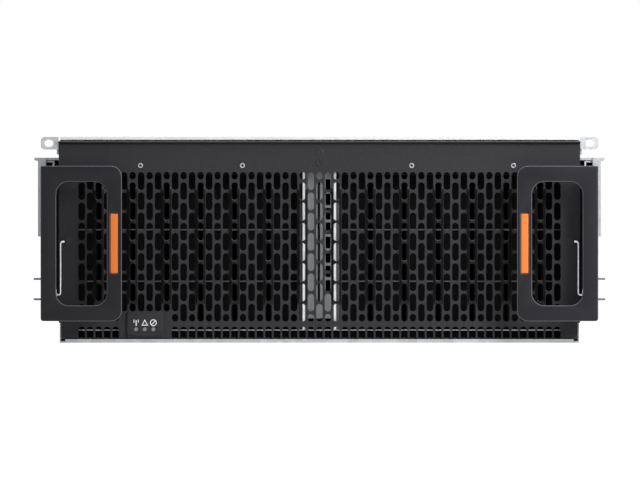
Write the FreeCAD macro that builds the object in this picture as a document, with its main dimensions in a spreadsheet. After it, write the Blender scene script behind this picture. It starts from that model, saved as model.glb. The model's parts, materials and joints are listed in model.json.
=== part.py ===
import FreeCAD, Part
import os
from FreeCAD import Placement, Rotation, Vector

# Disk shelf enclosure, four rack units tall, top loading.
# Frame: +X to the right, +Y to the back, +Z up, front face towards -Y.
# Origin: centre of the footprint, at the underside of the base pan.
# Every length is in millimetres.

doc = FreeCAD.newDocument("DiskShelf")

SIZES = (
    # Chassis
    ("chassis_width", 447.0),
    ("chassis_height", 174.2),
    ("wall_sheet", 1.2),
    ("base_sheet", 1.5),
    ("wall_flange", 11.0),
    ("fit_gap", 0.3),
    ("front_plenum", 26.0),
    ("beam_depth", 20.0),
    ("rear_bay", 232.0),
    ("sill_height", 3.2),
    ("sill_half", 218.5),
    # Bezel
    ("bezel_sheet", 1.2),
    ("bezel_half", 224.0),
    ("bezel_low_half", 222.0),
    ("bezel_low", 3.5),
    ("bezel_top", 173.5),
    ("bezel_shoulder", 17.0),
    ("bezel_flange", 10.0),
    ("bezel_lip_reach", 3.6),
    ("bezel_lip_drop", 2.2),
    ("bezel_lip_round", 0.7),
    ("foot_inner", 215.5),
    ("foot_outer", 219.5),
    ("foot_drop", 2.5),
    ("foot_sheet", 0.9),
    ("sill_upright", 11.4),
    ("sill_shelf", 12.0),
    ("sill_setback", 2.0),
    ("screw_radius", 2.15),
    ("screw_height", 152.4),
    ("stud_radius", 3.4),
    ("stud_height", 154.8),
    ("dimple_radius", 0.9),
    ("dimple_height", 163.8),
    # Grille
    ("grille_low", 18.3),
    ("grille_top", 146.8),
    ("column_pitch", 7.3),
    ("slot_width", 5.5),
    ("slot_height", 15.15),
    ("slot_pitch", 17.4),
    ("slot_tip", 1.9),
    ("foot_slot_top", 14.0),
    ("foot_slot_run", 6.0),
    ("rib_height", 3.0),
    ("rib_low", 32.0),
    ("rib_top", 135.0),
    ("rib_width", 9.0),
    ("rib_side_run", 1.6),
    ("rib_end_run", 4.0),
    # Indicator panel
    ("panel_left", -165.2),
    ("panel_width", 31.1),
    ("panel_low", 5.2),
    ("panel_top", 27.0),
    ("panel_proud", 2.2),
    ("light_radius", 1.65),
    ("light_pitch", 7.4),
    ("light_height", 11.7),
    ("light_proud", 0.2),
    ("light_offset", 0.4),
    ("panel_lip", 1.6),
    ("panel_lip_low", 0.4),
    ("panel_lip_height", 2.8),
    ("panel_lip_inset", 0.6),
    # Handles
    ("handle_stand", 30.0),
    ("handle_plate", 4.0),
    ("handle_inner", 169.3),
    ("handle_outer", 238.9),
    ("handle_low", 18.8),
    ("handle_top", 151.9),
    ("handle_bar", 12.8),
    ("handle_post", 13.4),
    ("handle_rail", 13.5),
    ("handle_inner_radius", 9.2),
    ("opening_radius", 10.7),
    ("handle_wall", 2.0),
    ("ear_setback", 2.0),
    ("ear_drop", 5.0),
    ("ear_return", 20.0),
    # Release buttons, links and rack hooks
    ("button_width", 6.2),
    ("button_height", 51.0),
    ("button_centre", 85.4),
    ("button_proud", 0.5),
    ("button_travel", 3.0),
    ("button_flange", 1.5),
    ("button_overlap", 2.0),
    ("housing_inset", 0.6),
    ("housing_sheet", 1.0),
    ("housing_overlap", 4.0),
    ("spring_room", 7.0),
    ("hook_travel", 4.0),
    ("hook_reach", 246.0),
    ("hook_sheet", 1.8),
    ("link_radius", 0.9),
    ("link_across", 222.3),
    ("link_setback", 14.0),
    ("link_eye", 4.5),
    ("link_foot_height", 41.4),
    ("link_eye_height", 87.0),
    ("hook_low", 31.0),
    ("hook_high", 62.0),
    ("hook_overlap", 1.5),
    ("tongue_height", 37.4),
    ("tongue_pitch", 17.5),
    # Rack tabs
    ("tab_sheet", 1.5),
    ("tab_reach", 239.5),
    ("tab_setback", 1.0),
    ("tab_leg", 44.0),
    ("tab_corner", 3.5),
    ("tab_low", 166.2),
    ("tab_top", 177.0),
    ("tab_hole_across", 232.55),
    ("tab_hole_height", 171.5),
    ("tab_hole_length", 7.8),
    ("tab_hole_width", 6.0),
    # Slide rails
    ("rail_front", 60.0),
    ("rail_reach", 246.7),
    ("rail_low", 91.4),
    ("rail_top", 157.5),
    ("rail_plate", 2.1),
    ("rail_sheet", 1.5),
    ("rail_web_out", 243.5),
    ("rail_gap", 0.4),
    ("rail_inner_lip", 5.6),
    ("rail_middle_lip", 6.0),
    ("rail_inner_inset", 9.0),
    ("rail_face_sheet", 2.0),
    ("rail_rear_gap", 12.0),
    ("rail_screw_radius", 3.0),
    ("rail_screw_proud", 1.6),
    ("rail_screw_drop", 5.0),
    # Drives
    ("drive_width", 26.1),
    ("drive_depth", 101.6),
    ("drive_height", 147.0),
    ("drive_low", 12.0),
    ("drive_pitch", 29.2),
    ("row_pitch", 107.0),
    ("carrier_height", 9.0),
    ("carrier_inset", 2.0),
    ("carrier_slope", 30.0),
    ("connector_half", 12.0),
    ("connector_depth", 8.0),
    ("standoff_half", 4.0),
    ("standoff_inset", 12.0),
    ("cage_bar", 1.8),
    ("cage_rail", 1.2),
    ("cage_post", 2.5),
    ("board_low", 6.0),
    ("board_sheet", 1.6),
    # Centre duct
    ("duct_half", 14.4),
    ("duct_sheet", 2.0),
    ("duct_lead", 12.0),
    ("duct_drop", 5.0),
    ("duct_panel_low", 21.0),
    ("duct_panel_drop", 4.0),
    ("duct_slit_left", 1.6),
    ("duct_slit_right", 0.6),
    ("duct_slit_low", 34.0),
    ("duct_slit_top", 140.0),
    ("ladder_left", 5.2),
    ("ladder_width", 4.4),
    ("ladder_low", 44.0),
    ("ladder_window", 10.0),
    ("ladder_pitch", 12.4),
    ("beam_sheet", 1.5),
    ("beam_window_low", 16.0),
    ("beam_window_drop", 22.0),
    ("beam_post", 12.0),
    # Lids
    ("lid_sheet", 1.2),
    ("lid_rise", 2.8),
    ("lid_hem", 1.3),
    ("hinge_drop", 3.7),
    ("knuckle_radius", 3.2),
    ("pin_radius", 1.5),
    ("pin_clearance", 0.05),
    ("hinge_across", 150.0),
    ("knuckle_width", 12.0),
    ("lid_knuckle_width", 20.0),
    ("hinge_gap", 5.0),
    # Rear modules
    ("module_gap", 1.0),
    ("shelf_height", 86.5),
    ("psu_width", 86.0),
    ("psu_depth", 206.0),
    ("io_width", 131.0),
    ("face_proud", 1.0),
    ("strip_depth", 12.0),
    ("lug_sheet", 3.0),
    ("lug_inset", 8.0),
    ("inlet_left", 10.0),
    ("inlet_width", 26.0),
    ("inlet_height", 20.0),
    ("inlet_depth", 14.0),
    ("inlet_low", 6.0),
    ("vent_radius", 17.0),
    ("vent_inset", 26.0),
    ("vent_depth", 8.0),
    ("bail_setback", 12.0),
    ("bail_drop", 46.0),
    ("bail_bar", 4.0),
    ("bail_arm", 3.0),
    ("bail_grip", 5.0),
    ("bail_stand", 5.0),
    ("release_width", 11.0),
    ("release_stem", 4.0),
    ("release_height", 5.0),
    ("release_travel", 3.0),
    ("release_reach", 5.5),
    ("port_left", 14.0),
    ("port_width", 16.0),
    ("port_height", 12.0),
    ("port_low", 34.0),
    ("port_pitch", 19.0),
    ("jack_inset", 34.0),
    ("socket_gap", 0.5),
    ("socket_depth", 26.0),
    ("io_board_low", 5.0),
    ("lever_low", 8.8),
    ("lever_height", 6.0),
    ("lever_bar", 5.0),
    ("lever_eye", 3.4),
    ("lever_lug", 2.5),
    ("lever_start", 30.0),
    ("fan_depth", 66.0),
    ("fan_bore", 38.5),
    ("fan_hub", 15.0),
    ("fan_outlet_lip", 2.0),
    ("rotor_setback", 12.0),
    ("rotor_depth", 30.0),
    ("blade_chord", 30.0),
    ("blade_sheet", 1.4),
    ("guard_bar", 2.4),
    ("pull_width", 44.0),
    ("pull_reach", 11.0),
    ("pull_sheet", 2.5),
    ("blade_tip", 0.8),
    ("rear_reach", 16.0),
)
FRONT_ROWS = 3
REAR_ROWS = 4
SIDE_COLUMNS = 28
DRIVES_PER_SIDE = 7
RIB_EVERY = 4
RIB_COUNT = 14
FAN_COUNT = 4
BLADE_COUNT = 7
BLADE_PITCH_DEGREES = 48
ROUND_SIDES = 20
PORTS_PER_MODULE = 4
LADDER_STEPS = 8
SCREW_PLACES = (-153.8, -66.2, 79.3, 166.8)
CAGE_HEIGHTS = (52.8, 97.3, 145.0)

sheet = doc.addObject("Spreadsheet::Sheet", "Sizes")
for row, (alias, value) in enumerate(SIZES, start=1):
    sheet.set(f"A{row}", alias)
    sheet.set(f"B{row}", str(value))
    sheet.setAlias(f"B{row}", alias)
doc.recompute()


# ---------------------------------------------------------------- lengths


class Length:
    """A length that carries its value and the sheet expression that gives it."""

    def __init__(self, value, text):
        self.value = value
        self.text = text

    def __add__(self, other):
        other = length(other)
        return Length(self.value + other.value, f"({self.text} + {other.text})")

    def __sub__(self, other):
        other = length(other)
        return Length(self.value - other.value, f"({self.text} - {other.text})")

    def __mul__(self, factor):
        factor = length(factor)
        return Length(self.value * factor.value, f"({self.text} * {factor.text})")

    def __truediv__(self, divisor):
        return Length(self.value / divisor, f"({self.text} / {divisor})")

    def __neg__(self):
        return Length(-self.value, f"(0 - {self.text})")

    def __radd__(self, other):
        return length(other) + self

    def __rsub__(self, other):
        return length(other) - self

    def __rmul__(self, factor):
        return self * factor


def length(value):
    """The value as a Length; a plain number stands for itself."""
    if isinstance(value, Length):
        return value
    return Length(float(value), f"({value})")


class Sheet:
    """The cells of the sheet, each read as an attribute."""


size = Sheet()
for alias, _ in SIZES:
    setattr(size, alias, Length(float(sheet.get(alias)), f"Sizes.{alias}"))

half_width = size.chassis_width / 2
inner_half = half_width - size.wall_sheet
chassis_depth = (size.front_plenum + (FRONT_ROWS + REAR_ROWS) * size.row_pitch
                 + size.beam_depth + size.rear_bay)
front_reach = size.handle_stand + size.button_proud
front = front_reach - (front_reach + chassis_depth + size.rear_reach) / 2
rear = front + chassis_depth
front_rows_start = front + size.front_plenum
beam_start = front_rows_start + FRONT_ROWS * size.row_pitch
rear_rows_start = beam_start + size.beam_depth
bay_start = rear_rows_start + REAR_ROWS * size.row_pitch
lid_top = size.chassis_height + size.lid_rise
hinge_height = lid_top - size.hinge_drop
front_hinge = beam_start + size.beam_depth / 2
rear_hinge = bay_start + size.beam_depth / 2


# ---------------------------------------------------------------- tools

nodes = {}


def node(name, item):
    """Names a finished sub-part; each one is written to its own file."""
    item.Label = name
    nodes[name] = item
    return item


def bind(item, prop, value):
    item.setExpression(prop, length(value).text)


def block(name, x, y, z):
    """A box given by its low and high limits on each axis."""
    item = doc.addObject("Part::Box", name)
    for prop, low, high in (("Length", *x), ("Width", *y), ("Height", *z)):
        bind(item, prop, length(high) - low)
    for axis, (low, high) in (("x", x), ("y", y), ("z", z)):
        bind(item, f"Placement.Base.{axis}", low)
    return item


AXIS_TURNS = {"x": Rotation(Vector(0, 1, 0), 90),
              "y": Rotation(Vector(1, 0, 0), -90),
              "z": Rotation()}


def rod(name, radius, start, reach, axis):
    """A cylinder that starts at a point and runs along one axis."""
    item = doc.addObject("Part::Cylinder", name)
    bind(item, "Radius", radius)
    bind(item, "Height", reach)
    item.Placement = Placement(Vector(), AXIS_TURNS[axis])
    for letter, value in zip("xyz", start):
        bind(item, f"Placement.Base.{letter}", value)
    return item


def fuse(name, items):
    item = doc.addObject("Part::MultiFuse", name)
    item.Shapes = list(items)
    item.Refine = True
    return item


def cut(name, base, tools):
    tool = tools[0] if len(tools) == 1 else group(f"{name}_cuts", tools)
    item = doc.addObject("Part::Cut", name)
    item.Base = base
    item.Tool = tool
    return item


def group(name, items):
    """Separate solids that share one sub-part."""
    item = doc.addObject("Part::Compound", name)
    item.Links = list(items)
    return item


def mirror(name, source):
    """The same piece on the other side of the centre plane."""
    item = doc.addObject("Part::Mirroring", name)
    item.Source = source
    item.Base = Vector(0, 0, 0)
    item.Normal = Vector(1, 0, 0)
    return item


def new_body(name):
    return doc.addObject("PartDesign::Body", name)


def origin_feature(body, role):
    for feature in body.Origin.OriginFeatures:
        if feature.Role == role:
            return feature
    raise ValueError(f"no origin feature {role}")


PLANE_SIGNS = {"XY_Plane": 1, "XZ_Plane": -1, "YZ_Plane": 1}


def closed_sketch(body, name, plane, place, points):
    """A closed outline on one origin plane, moved along its normal to a place."""
    sketch = body.newObject("Sketcher::SketchObject", name)
    sketch.AttachmentSupport = [(origin_feature(body, plane), "")]
    sketch.MapMode = "FlatFace"
    bind(sketch, "AttachmentOffset.Base.z", length(place) * PLANE_SIGNS[plane])
    corners = [Vector(length(u).value, length(v).value, 0) for u, v in points]
    sides = [Part.LineSegment(a, b) for a, b in zip(corners, corners[1:] + corners[:1])]
    sketch.addGeometry(sides, False)
    return sketch


def pad(body, name, plane, start, end, points):
    """Adds the outline between two places on the plane's axis."""
    place = end if PLANE_SIGNS[plane] < 0 else start
    item = body.newObject("PartDesign::Pad", name)
    item.Profile = closed_sketch(body, f"{name}_outline", plane, place, points)
    bind(item, "Length", length(end) - start)
    return item


def pocket(body, name, plane, start, end, points):
    """Cuts the outline away between two places on the plane's axis."""
    place = start if PLANE_SIGNS[plane] < 0 else end
    item = body.newObject("PartDesign::Pocket", name)
    item.Profile = closed_sketch(body, f"{name}_outline", plane, place, points)
    item.Type = "Length"
    bind(item, "Length", length(end) - start)
    return item


def along_x(body, name, originals, count, step):
    """Repeats features along X."""
    item = body.newObject("PartDesign::LinearPattern", name)
    item.Originals = originals
    item.Direction = (origin_feature(body, "X_Axis"), [""])
    bind(item, "Length", step * (count - 1))
    item.Occurrences = count
    body.Tip = item
    return item


def rectangle(u0, u1, v0, v1):
    return [(u0, v0), (u1, v0), (u1, v1), (u0, v1)]


def round_edges(body, name, base, radius, wanted):
    """Fillets the edges of a feature whose middle point is wanted."""
    doc.recompute()
    names = []
    for index, edge in enumerate(base.Shape.Edges, start=1):
        middle = edge.valueAt((edge.FirstParameter + edge.LastParameter) / 2)
        if wanted(middle, edge):
            names.append(f"Edge{index}")
    item = body.newObject("PartDesign::Fillet", name)
    item.Base = (base, names)
    bind(item, "Radius", radius)
    return item


def runs_along(edge, axis):
    first = edge.valueAt(edge.FirstParameter)
    last = edge.valueAt(edge.LastParameter)
    return edge.Curve.TypeId == "Part::GeomLine" and abs((last - first).normalize().dot(axis)) > 0.999


# ---------------------------------------------------------------- base pan

base_body = new_body("base_pan_body")
pad(base_body, "floor", "XY_Plane", 0, size.base_sheet,
    rectangle(-half_width, half_width, front + size.bezel_flange, rear))
pad(base_body, "apron", "XY_Plane", 0, size.base_sheet,
    rectangle(-size.sill_half, size.sill_half, front + size.bezel_sheet,
              front + size.bezel_flange))
wall_start = front + size.bezel_flange + size.fit_gap
flange_inner = half_width - size.wall_flange
flange_low = size.chassis_height - size.wall_sheet
for side, sign in (("left", -1), ("right", 1)):
    pad(base_body, f"{side}_wall", "XZ_Plane", wall_start, rear, [
        (half_width * sign, 0),
        (half_width * sign, size.chassis_height),
        (flange_inner * sign, size.chassis_height),
        (flange_inner * sign, flange_low),
        (inner_half * sign, flange_low),
        (inner_half * sign, 0),
    ])
pad(base_body, "sill", "XZ_Plane", front + size.bezel_sheet, front + size.bezel_flange / 2,
    rectangle(-size.sill_half, size.sill_half, 0, size.sill_height))
node("base_pan", base_body)

# Upturned flange inside the front edge, seen through the lowest row of slots
sill_y = front + size.bezel_flange + size.sill_setback
sill_end = sill_y + size.sill_shelf
sill_hem = sill_y - size.sill_setback
sill_body = new_body("front_sill_body")
pad(sill_body, "upright", "YZ_Plane", -size.sill_half, size.sill_half, [
    (sill_y, size.base_sheet),
    (sill_end, size.base_sheet),
    (sill_end, size.base_sheet + size.wall_sheet),
    (sill_y + size.wall_sheet, size.base_sheet + size.wall_sheet),
    (sill_y + size.wall_sheet, size.sill_upright),
    (sill_hem, size.sill_upright),
    (sill_hem, size.sill_upright - size.wall_sheet),
    (sill_y, size.sill_upright - size.wall_sheet),
])
node("front_sill", sill_body)

# ---------------------------------------------------------------- bezel

bezel_body = new_body("bezel_sheet_body")
bezel_back = front + size.bezel_sheet
shoulder_step = size.bezel_half - size.bezel_low_half
bezel_outline = [
    (-size.bezel_low_half, size.bezel_low),
    (size.bezel_low_half, size.bezel_low),
    (size.bezel_low_half, size.bezel_shoulder),
    (size.bezel_half, size.bezel_shoulder + shoulder_step),
    (size.bezel_half, size.bezel_top),
    (-size.bezel_half, size.bezel_top),
    (-size.bezel_half, size.bezel_shoulder + shoulder_step),
    (-size.bezel_low_half, size.bezel_shoulder),
]
pad(bezel_body, "face", "XZ_Plane", front, bezel_back, bezel_outline)
fold_end = front + size.bezel_flange
inset = size.bezel_sheet
pad(bezel_body, "top_fold", "XZ_Plane", bezel_back, fold_end, rectangle(
    -size.bezel_half, size.bezel_half, size.bezel_top - inset, size.bezel_top))
pad(bezel_body, "low_fold", "XZ_Plane", bezel_back, fold_end, rectangle(
    -size.bezel_low_half, size.bezel_low_half, size.bezel_low, size.bezel_low + inset))
for side, sign in (("left", -1), ("right", 1)):
    pad(bezel_body, f"{side}_fold", "XZ_Plane", bezel_back, fold_end, rectangle(
        (size.bezel_half - inset) * sign, size.bezel_half * sign,
        size.bezel_shoulder + shoulder_step, size.bezel_top))
for side, sign in (("left", -1), ("right", 1)):
    pad(bezel_body, f"{side}_foot", "XZ_Plane", front, front + size.foot_sheet, rectangle(
        size.foot_inner * sign, size.foot_outer * sign,
        size.bezel_low - size.foot_drop, size.bezel_low))

# Hemmed lip that overhangs the face along its top edge
lip_front = front - size.bezel_lip_reach
lip_low = size.bezel_top - size.bezel_lip_drop
pad(bezel_body, "top_lip", "YZ_Plane", -size.bezel_half, size.bezel_half, [
    (front, lip_low),
    (lip_front + size.bezel_lip_round, lip_low),
    (lip_front, lip_low + size.bezel_lip_round),
    (lip_front, size.bezel_top - size.bezel_lip_round),
    (lip_front + size.bezel_lip_round, size.bezel_top),
    (front, size.bezel_top),
])


def rib_loft(kind, name, base_y, inset_by):
    """One embossed rib: a low pyramid with a long flat top."""
    centre = (2 - SIDE_COLUMNS) * size.column_pitch
    half = size.rib_width / 2 - inset_by
    crown_half = size.rib_width / 2 - size.rib_side_run
    low = size.rib_low + inset_by
    top = size.rib_top - inset_by
    foot = closed_sketch(bezel_body, f"{name}_foot", "XZ_Plane", base_y,
                         rectangle(centre - half, centre + half, low, top))
    crown = closed_sketch(
        bezel_body, f"{name}_crown", "XZ_Plane", base_y - size.rib_height,
        rectangle(centre - crown_half, centre + crown_half,
                  low + size.rib_end_run, top - size.rib_end_run))
    item = bezel_body.newObject(kind, name)
    item.Profile = foot
    item.Sections = [crown]
    item.Ruled = True
    return item


rib_step = size.column_pitch * RIB_EVERY
outer_rib = rib_loft("PartDesign::AdditiveLoft", "rib", front, 0)
along_x(bezel_body, "ribs", [outer_rib], RIB_COUNT, rib_step)
hollow_rib = rib_loft("PartDesign::SubtractiveLoft", "rib_hollow", bezel_back,
                      size.bezel_sheet / 4)
along_x(bezel_body, "rib_hollows", [hollow_rib], RIB_COUNT, rib_step)

panel_right = size.panel_left + size.panel_width


def slot_prism(x, low, top, tip, start, reach):
    """A slot's cutter: straight sides and a roof-shaped end above and below."""
    half = size.slot_width.value / 2
    tip = min(tip, (top - low) / 3)
    outline = [(x - half, low + tip), (x, low), (x + half, low + tip),
               (x + half, top - tip), (x, top), (x - half, top - tip)]
    points = [Vector(u, start, v) for u, v in outline]
    return Part.Face(Part.makePolygon(points + points[:1])).extrude(Vector(0, reach, 0))


def grille_cutters():
    """Staggered columns of slots, and one short slot under each column."""
    start = (front - size.rib_height).value - 1
    reach = (bezel_back + size.foot_slot_run).value - start
    tip = size.slot_tip.value
    pitch = size.slot_pitch.value
    cutters = []
    for column in range(-SIDE_COLUMNS, SIDE_COLUMNS + 1):
        x = column * size.column_pitch.value
        edge = size.slot_width.value / 2
        over_panel = size.panel_left.value < x + edge and x - edge < panel_right.value
        floor = size.panel_top.value if over_panel else size.grille_low.value
        top = size.grille_top.value + (pitch / 2 if column % 2 == 0 else 0)
        while top - tip * 2 > floor:
            low = max(top - size.slot_height.value, floor)
            high = min(top, size.grille_top.value)
            if high - low > 2 * tip:
                cutters.append(slot_prism(x, low, high, tip, start, reach))
            top -= pitch
        if not over_panel:
            cutters.append(slot_prism(x, size.bezel_low.value - 3, size.foot_slot_top.value,
                                      tip, start, reach))
    return Part.makeCompound(cutters)


slot_cutters = doc.addObject("Part::Feature", "grille_slots")
slot_cutters.Shape = grille_cutters()
dimple_hole = rod("dimple_hole", size.dimple_radius,
                  (0, front - size.bezel_sheet, size.dimple_height), size.bezel_sheet * 3, "y")
node("front_bezel", cut("bezel", bezel_body, [slot_cutters, dimple_hole]))

screw_proud = 0.8
stud_proud = 0.5
screws = [rod(f"bezel_screw_{index}", size.screw_radius,
              (x, front - screw_proud, size.screw_height), screw_proud, "y")
          for index, x in enumerate(SCREW_PLACES, start=1)]
screws.append(rod("bezel_stud", size.stud_radius, (0, front - stud_proud, size.stud_height),
                  stud_proud, "y"))
node("bezel_screws", group("bezel_screw_group", screws))

# ---------------------------------------------------------------- indicator panel

panel_body = new_body("indicator_panel_body")
panel_front = front - size.panel_proud
pad(panel_body, "panel_block", "XZ_Plane", panel_front, front,
    rectangle(size.panel_left, panel_right, size.panel_low, size.panel_top))
panel_lip_front = panel_front - size.panel_lip
panel_lip_low = size.panel_low + size.panel_lip_low
panel_lip_slope = size.panel_lip / 2
pad(panel_body, "panel_lip", "YZ_Plane", size.panel_left + size.panel_lip_inset,
    panel_right - size.panel_lip_inset, [
        (panel_front, panel_lip_low),
        (panel_front, panel_lip_low + size.panel_lip_height),
        (panel_lip_front, panel_lip_low + size.panel_lip_height - panel_lip_slope),
        (panel_lip_front, panel_lip_low + panel_lip_slope),
    ])
panel_centre = size.panel_left + size.panel_width / 2 - size.light_offset
light_places = [panel_centre + size.light_pitch * step for step in (-1, 0, 1)]
light_bores = [rod(f"light_bore_{index}", size.light_radius + size.pin_clearance,
                   (x, panel_front - 1, size.light_height), size.panel_proud + 2, "y")
               for index, x in enumerate(light_places, start=1)]
node("indicator_panel", cut("indicator_panel_cut", panel_body, light_bores))
node("light_pipes", group("light_pipe_group", [
    rod(f"light_pipe_{index}", size.light_radius,
        (x, panel_front - size.light_proud, size.light_height),
        size.panel_proud + size.light_proud, "y")
    for index, x in enumerate(light_places, start=1)]))

# ---------------------------------------------------------------- handles

handle_front = front - size.handle_stand
handle_back = handle_front + size.handle_plate
ear_start = front + size.bezel_flange + size.ear_setback

handle_body = new_body("handle_body")
pad(handle_body, "ring", "XZ_Plane", handle_front, handle_back, rectangle(
    size.handle_inner, size.handle_outer, size.handle_low, size.handle_top))
opening_left = size.handle_inner + size.handle_bar
opening_right = size.handle_outer - size.handle_post
opening_low = size.handle_low + size.handle_rail
opening_top = size.handle_top - size.handle_rail
opening = pocket(handle_body, "opening", "XZ_Plane", handle_front, handle_back,
                 rectangle(opening_left, opening_right, opening_low, opening_top))
rounded = round_edges(
    handle_body, "inner_corners", opening, size.handle_inner_radius,
    lambda p, e: runs_along(e, Vector(0, 1, 0)) and abs(p.x - size.handle_inner.value) < 0.1)
rounded = round_edges(
    handle_body, "opening_corners", rounded, size.opening_radius,
    lambda p, e: runs_along(e, Vector(0, 1, 0)) and opening_left.value - 0.1 < p.x
    < opening_right.value + 0.1 and opening_low.value - 0.1 < p.z < opening_top.value + 0.1)
pad(handle_body, "side_wall", "XZ_Plane", handle_back, ear_start + size.wall_sheet, rectangle(
    size.handle_outer - size.handle_wall, size.handle_outer,
    size.handle_low + size.handle_wall, size.handle_top - size.handle_wall / 2))
button_x = size.handle_inner + size.handle_bar / 2 + size.light_proud
button_half = size.button_width / 2
button_low = size.button_centre - size.button_height / 2
button_top = size.button_centre + size.button_height / 2
pocket(handle_body, "button_window", "XZ_Plane", handle_front, handle_back, rectangle(
    button_x - button_half - size.fit_gap, button_x + button_half + size.fit_gap,
    button_low - size.fit_gap, button_top + size.fit_gap))
node("handle_right", handle_body)
node("handle_left", mirror("handle_mirror", handle_body))

# Housing behind the inner bar, with the button's flange inside it
housing_half = size.handle_bar / 2 - size.housing_inset
housing_x = (button_x - housing_half, button_x + housing_half)
housing_z = (button_low - size.housing_overlap, button_top + size.housing_overlap)
housing_depth = size.button_travel + size.spring_room
housing = cut("release_housing", block(
    "housing_shell", housing_x, (handle_back, handle_back + housing_depth), housing_z),
    [block("housing_hollow",
           (housing_x[0] + size.housing_sheet, housing_x[1] - size.housing_sheet),
           (handle_back - size.housing_sheet, handle_back + housing_depth - size.housing_sheet),
           (housing_z[0] + size.housing_sheet, housing_z[1] - size.housing_sheet))])
node("release_housings", group("housings", [housing, mirror("housing_mirror", housing)]))

button_body = new_body("release_button_body")
button_face = handle_front - size.button_proud
flange_start = handle_back + size.fit_gap
pad(button_body, "button_cap", "XZ_Plane", button_face, flange_start, rectangle(
    button_x - button_half, button_x + button_half, button_low, button_top))
flange_half = housing_half - size.housing_sheet - size.fit_gap
pad(button_body, "button_flange", "XZ_Plane", flange_start, flange_start + size.button_flange,
    rectangle(button_x - flange_half, button_x + flange_half,
              button_low - size.button_overlap, button_top + size.button_overlap))
node("release_button_right", button_body)
node("release_button_left", mirror("button_mirror", button_body))

# Ear bracket: ties the handle's side wall to the side of the chassis
ear_low = size.handle_low + size.ear_drop
ear_top = size.handle_top - size.tab_sheet * 2
ear_fold = ear_start - size.ear_return
ear_end = front + size.rail_front - size.rail_gap * 10
ear_inner = half_width + size.fit_gap
ear_outer = size.handle_outer - size.handle_wall - size.fit_gap
ear_body = new_body("ear_body")
pad(ear_body, "ear_profile", "XY_Plane", ear_low, ear_top, [
    (ear_inner, ear_start),
    (ear_outer - size.tab_sheet, ear_start),
    (ear_outer - size.tab_sheet, ear_fold),
    (ear_outer, ear_fold),
    (ear_outer, ear_start + size.tab_sheet),
    (ear_inner + size.tab_sheet, ear_start + size.tab_sheet),
    (ear_inner + size.tab_sheet, ear_end),
    (ear_inner, ear_end),
])
link_root = ear_outer - size.tab_sheet * 3
link_room = size.link_radius * 5
pocket(ear_body, "link_window", "XZ_Plane", ear_start, ear_start + size.tab_sheet, rectangle(
    link_root - size.hook_travel - size.link_radius * 2, link_root + size.link_radius * 2,
    size.link_foot_height - link_room, size.link_foot_height + link_room))
node("ear_brackets", group("ears", [ear_body, mirror("ear_mirror", ear_body)]))

# Rack hooks: a sliding plate with two tongues, pulled in by a bent wire link
hook_start = ear_start + size.tab_sheet + size.fit_gap
hook_body = new_body("hook_body")
hook_inner = link_root - size.hook_overlap
hook_plate_edge = size.handle_outer - size.fit_gap
pad(hook_body, "hook_plate", "XZ_Plane", hook_start, hook_start + size.hook_sheet,
    rectangle(hook_inner, hook_plate_edge, size.hook_low, size.hook_high))
for name, height in (("lower", size.tongue_height),
                     ("upper", size.tongue_height + size.tongue_pitch)):
    pad(hook_body, f"{name}_tongue", "XZ_Plane", hook_start, hook_start + size.hook_sheet,
        rectangle(hook_plate_edge, size.hook_reach,
                  height - size.hook_sheet / 2, height + size.hook_sheet / 2))
node("rack_hook_right", hook_body)
node("rack_hook_left", mirror("hook_mirror", hook_body))

link_y = (front - size.link_setback).value


def bent_wire(points, radius):
    """A round wire along straight runs, mitred where it bends."""
    path = Part.makePolygon(points)
    ring_wire = Part.Wire(Part.makeCircle(radius, points[0], points[1] - points[0]))
    return path.makePipeShell([ring_wire], True, False, 1)


link_wire = doc.addObject("Part::Feature", "link_wire")
link_x = size.link_across.value
eye_z = size.link_eye_height.value
foot_z = size.link_foot_height.value
link_wire.Shape = bent_wire([
    Vector(link_x - size.link_eye.value, link_y, eye_z),
    Vector(link_x, link_y, eye_z),
    Vector(link_x, link_y, foot_z),
    Vector(link_root.value, link_y, foot_z),
    Vector(link_root.value, hook_start.value, foot_z),
], size.link_radius.value)
node("latch_link_right", link_wire)
node("latch_link_left", mirror("link_mirror", link_wire))

# ---------------------------------------------------------------- rack tabs

tab_body = new_body("rack_tab_body")
tab_start = front + size.tab_setback
tab_inner = size.bezel_half + size.fit_gap
pad(tab_body, "tab_face", "XZ_Plane", tab_start, tab_start + size.tab_sheet,
    rectangle(tab_inner, size.tab_reach, size.tab_low, size.tab_top))
pad(tab_body, "tab_foot", "YZ_Plane", tab_inner, tab_inner + size.tab_sheet, rectangle(
    tab_start + size.tab_sheet, tab_start + size.tab_leg,
    size.tab_low - size.tab_leg / 11, size.chassis_height - size.tab_setback))
doc.recompute()
round_edges(tab_body, "tab_corners", tab_body.Tip, size.tab_corner,
            lambda p, e: runs_along(e, Vector(0, 1, 0)) and abs(p.x - size.tab_reach.value) < 0.1)
hole_half = (size.tab_hole_length - size.tab_hole_width) / 2
hole_radius = size.tab_hole_width / 2
hole_reach = size.tab_sheet * 3
hole_start = tab_start - size.tab_sheet
hole_parts = [rod(f"tab_hole_{place}", hole_radius,
                  (size.tab_hole_across + hole_half * sign, hole_start, size.tab_hole_height),
                  hole_reach, "y") for place, sign in (("in", -1), ("out", 1))]
hole_parts.append(block("tab_hole_middle",
                        (size.tab_hole_across - hole_half, size.tab_hole_across + hole_half),
                        (hole_start, hole_start + hole_reach),
                        (size.tab_hole_height - hole_radius, size.tab_hole_height + hole_radius)))
rack_tab = cut("rack_tab", tab_body, [fuse("tab_hole", hole_parts)])
node("rack_tabs", group("tabs", [rack_tab, mirror("tab_mirror", rack_tab)]))

# ---------------------------------------------------------------- slide rails

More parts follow.
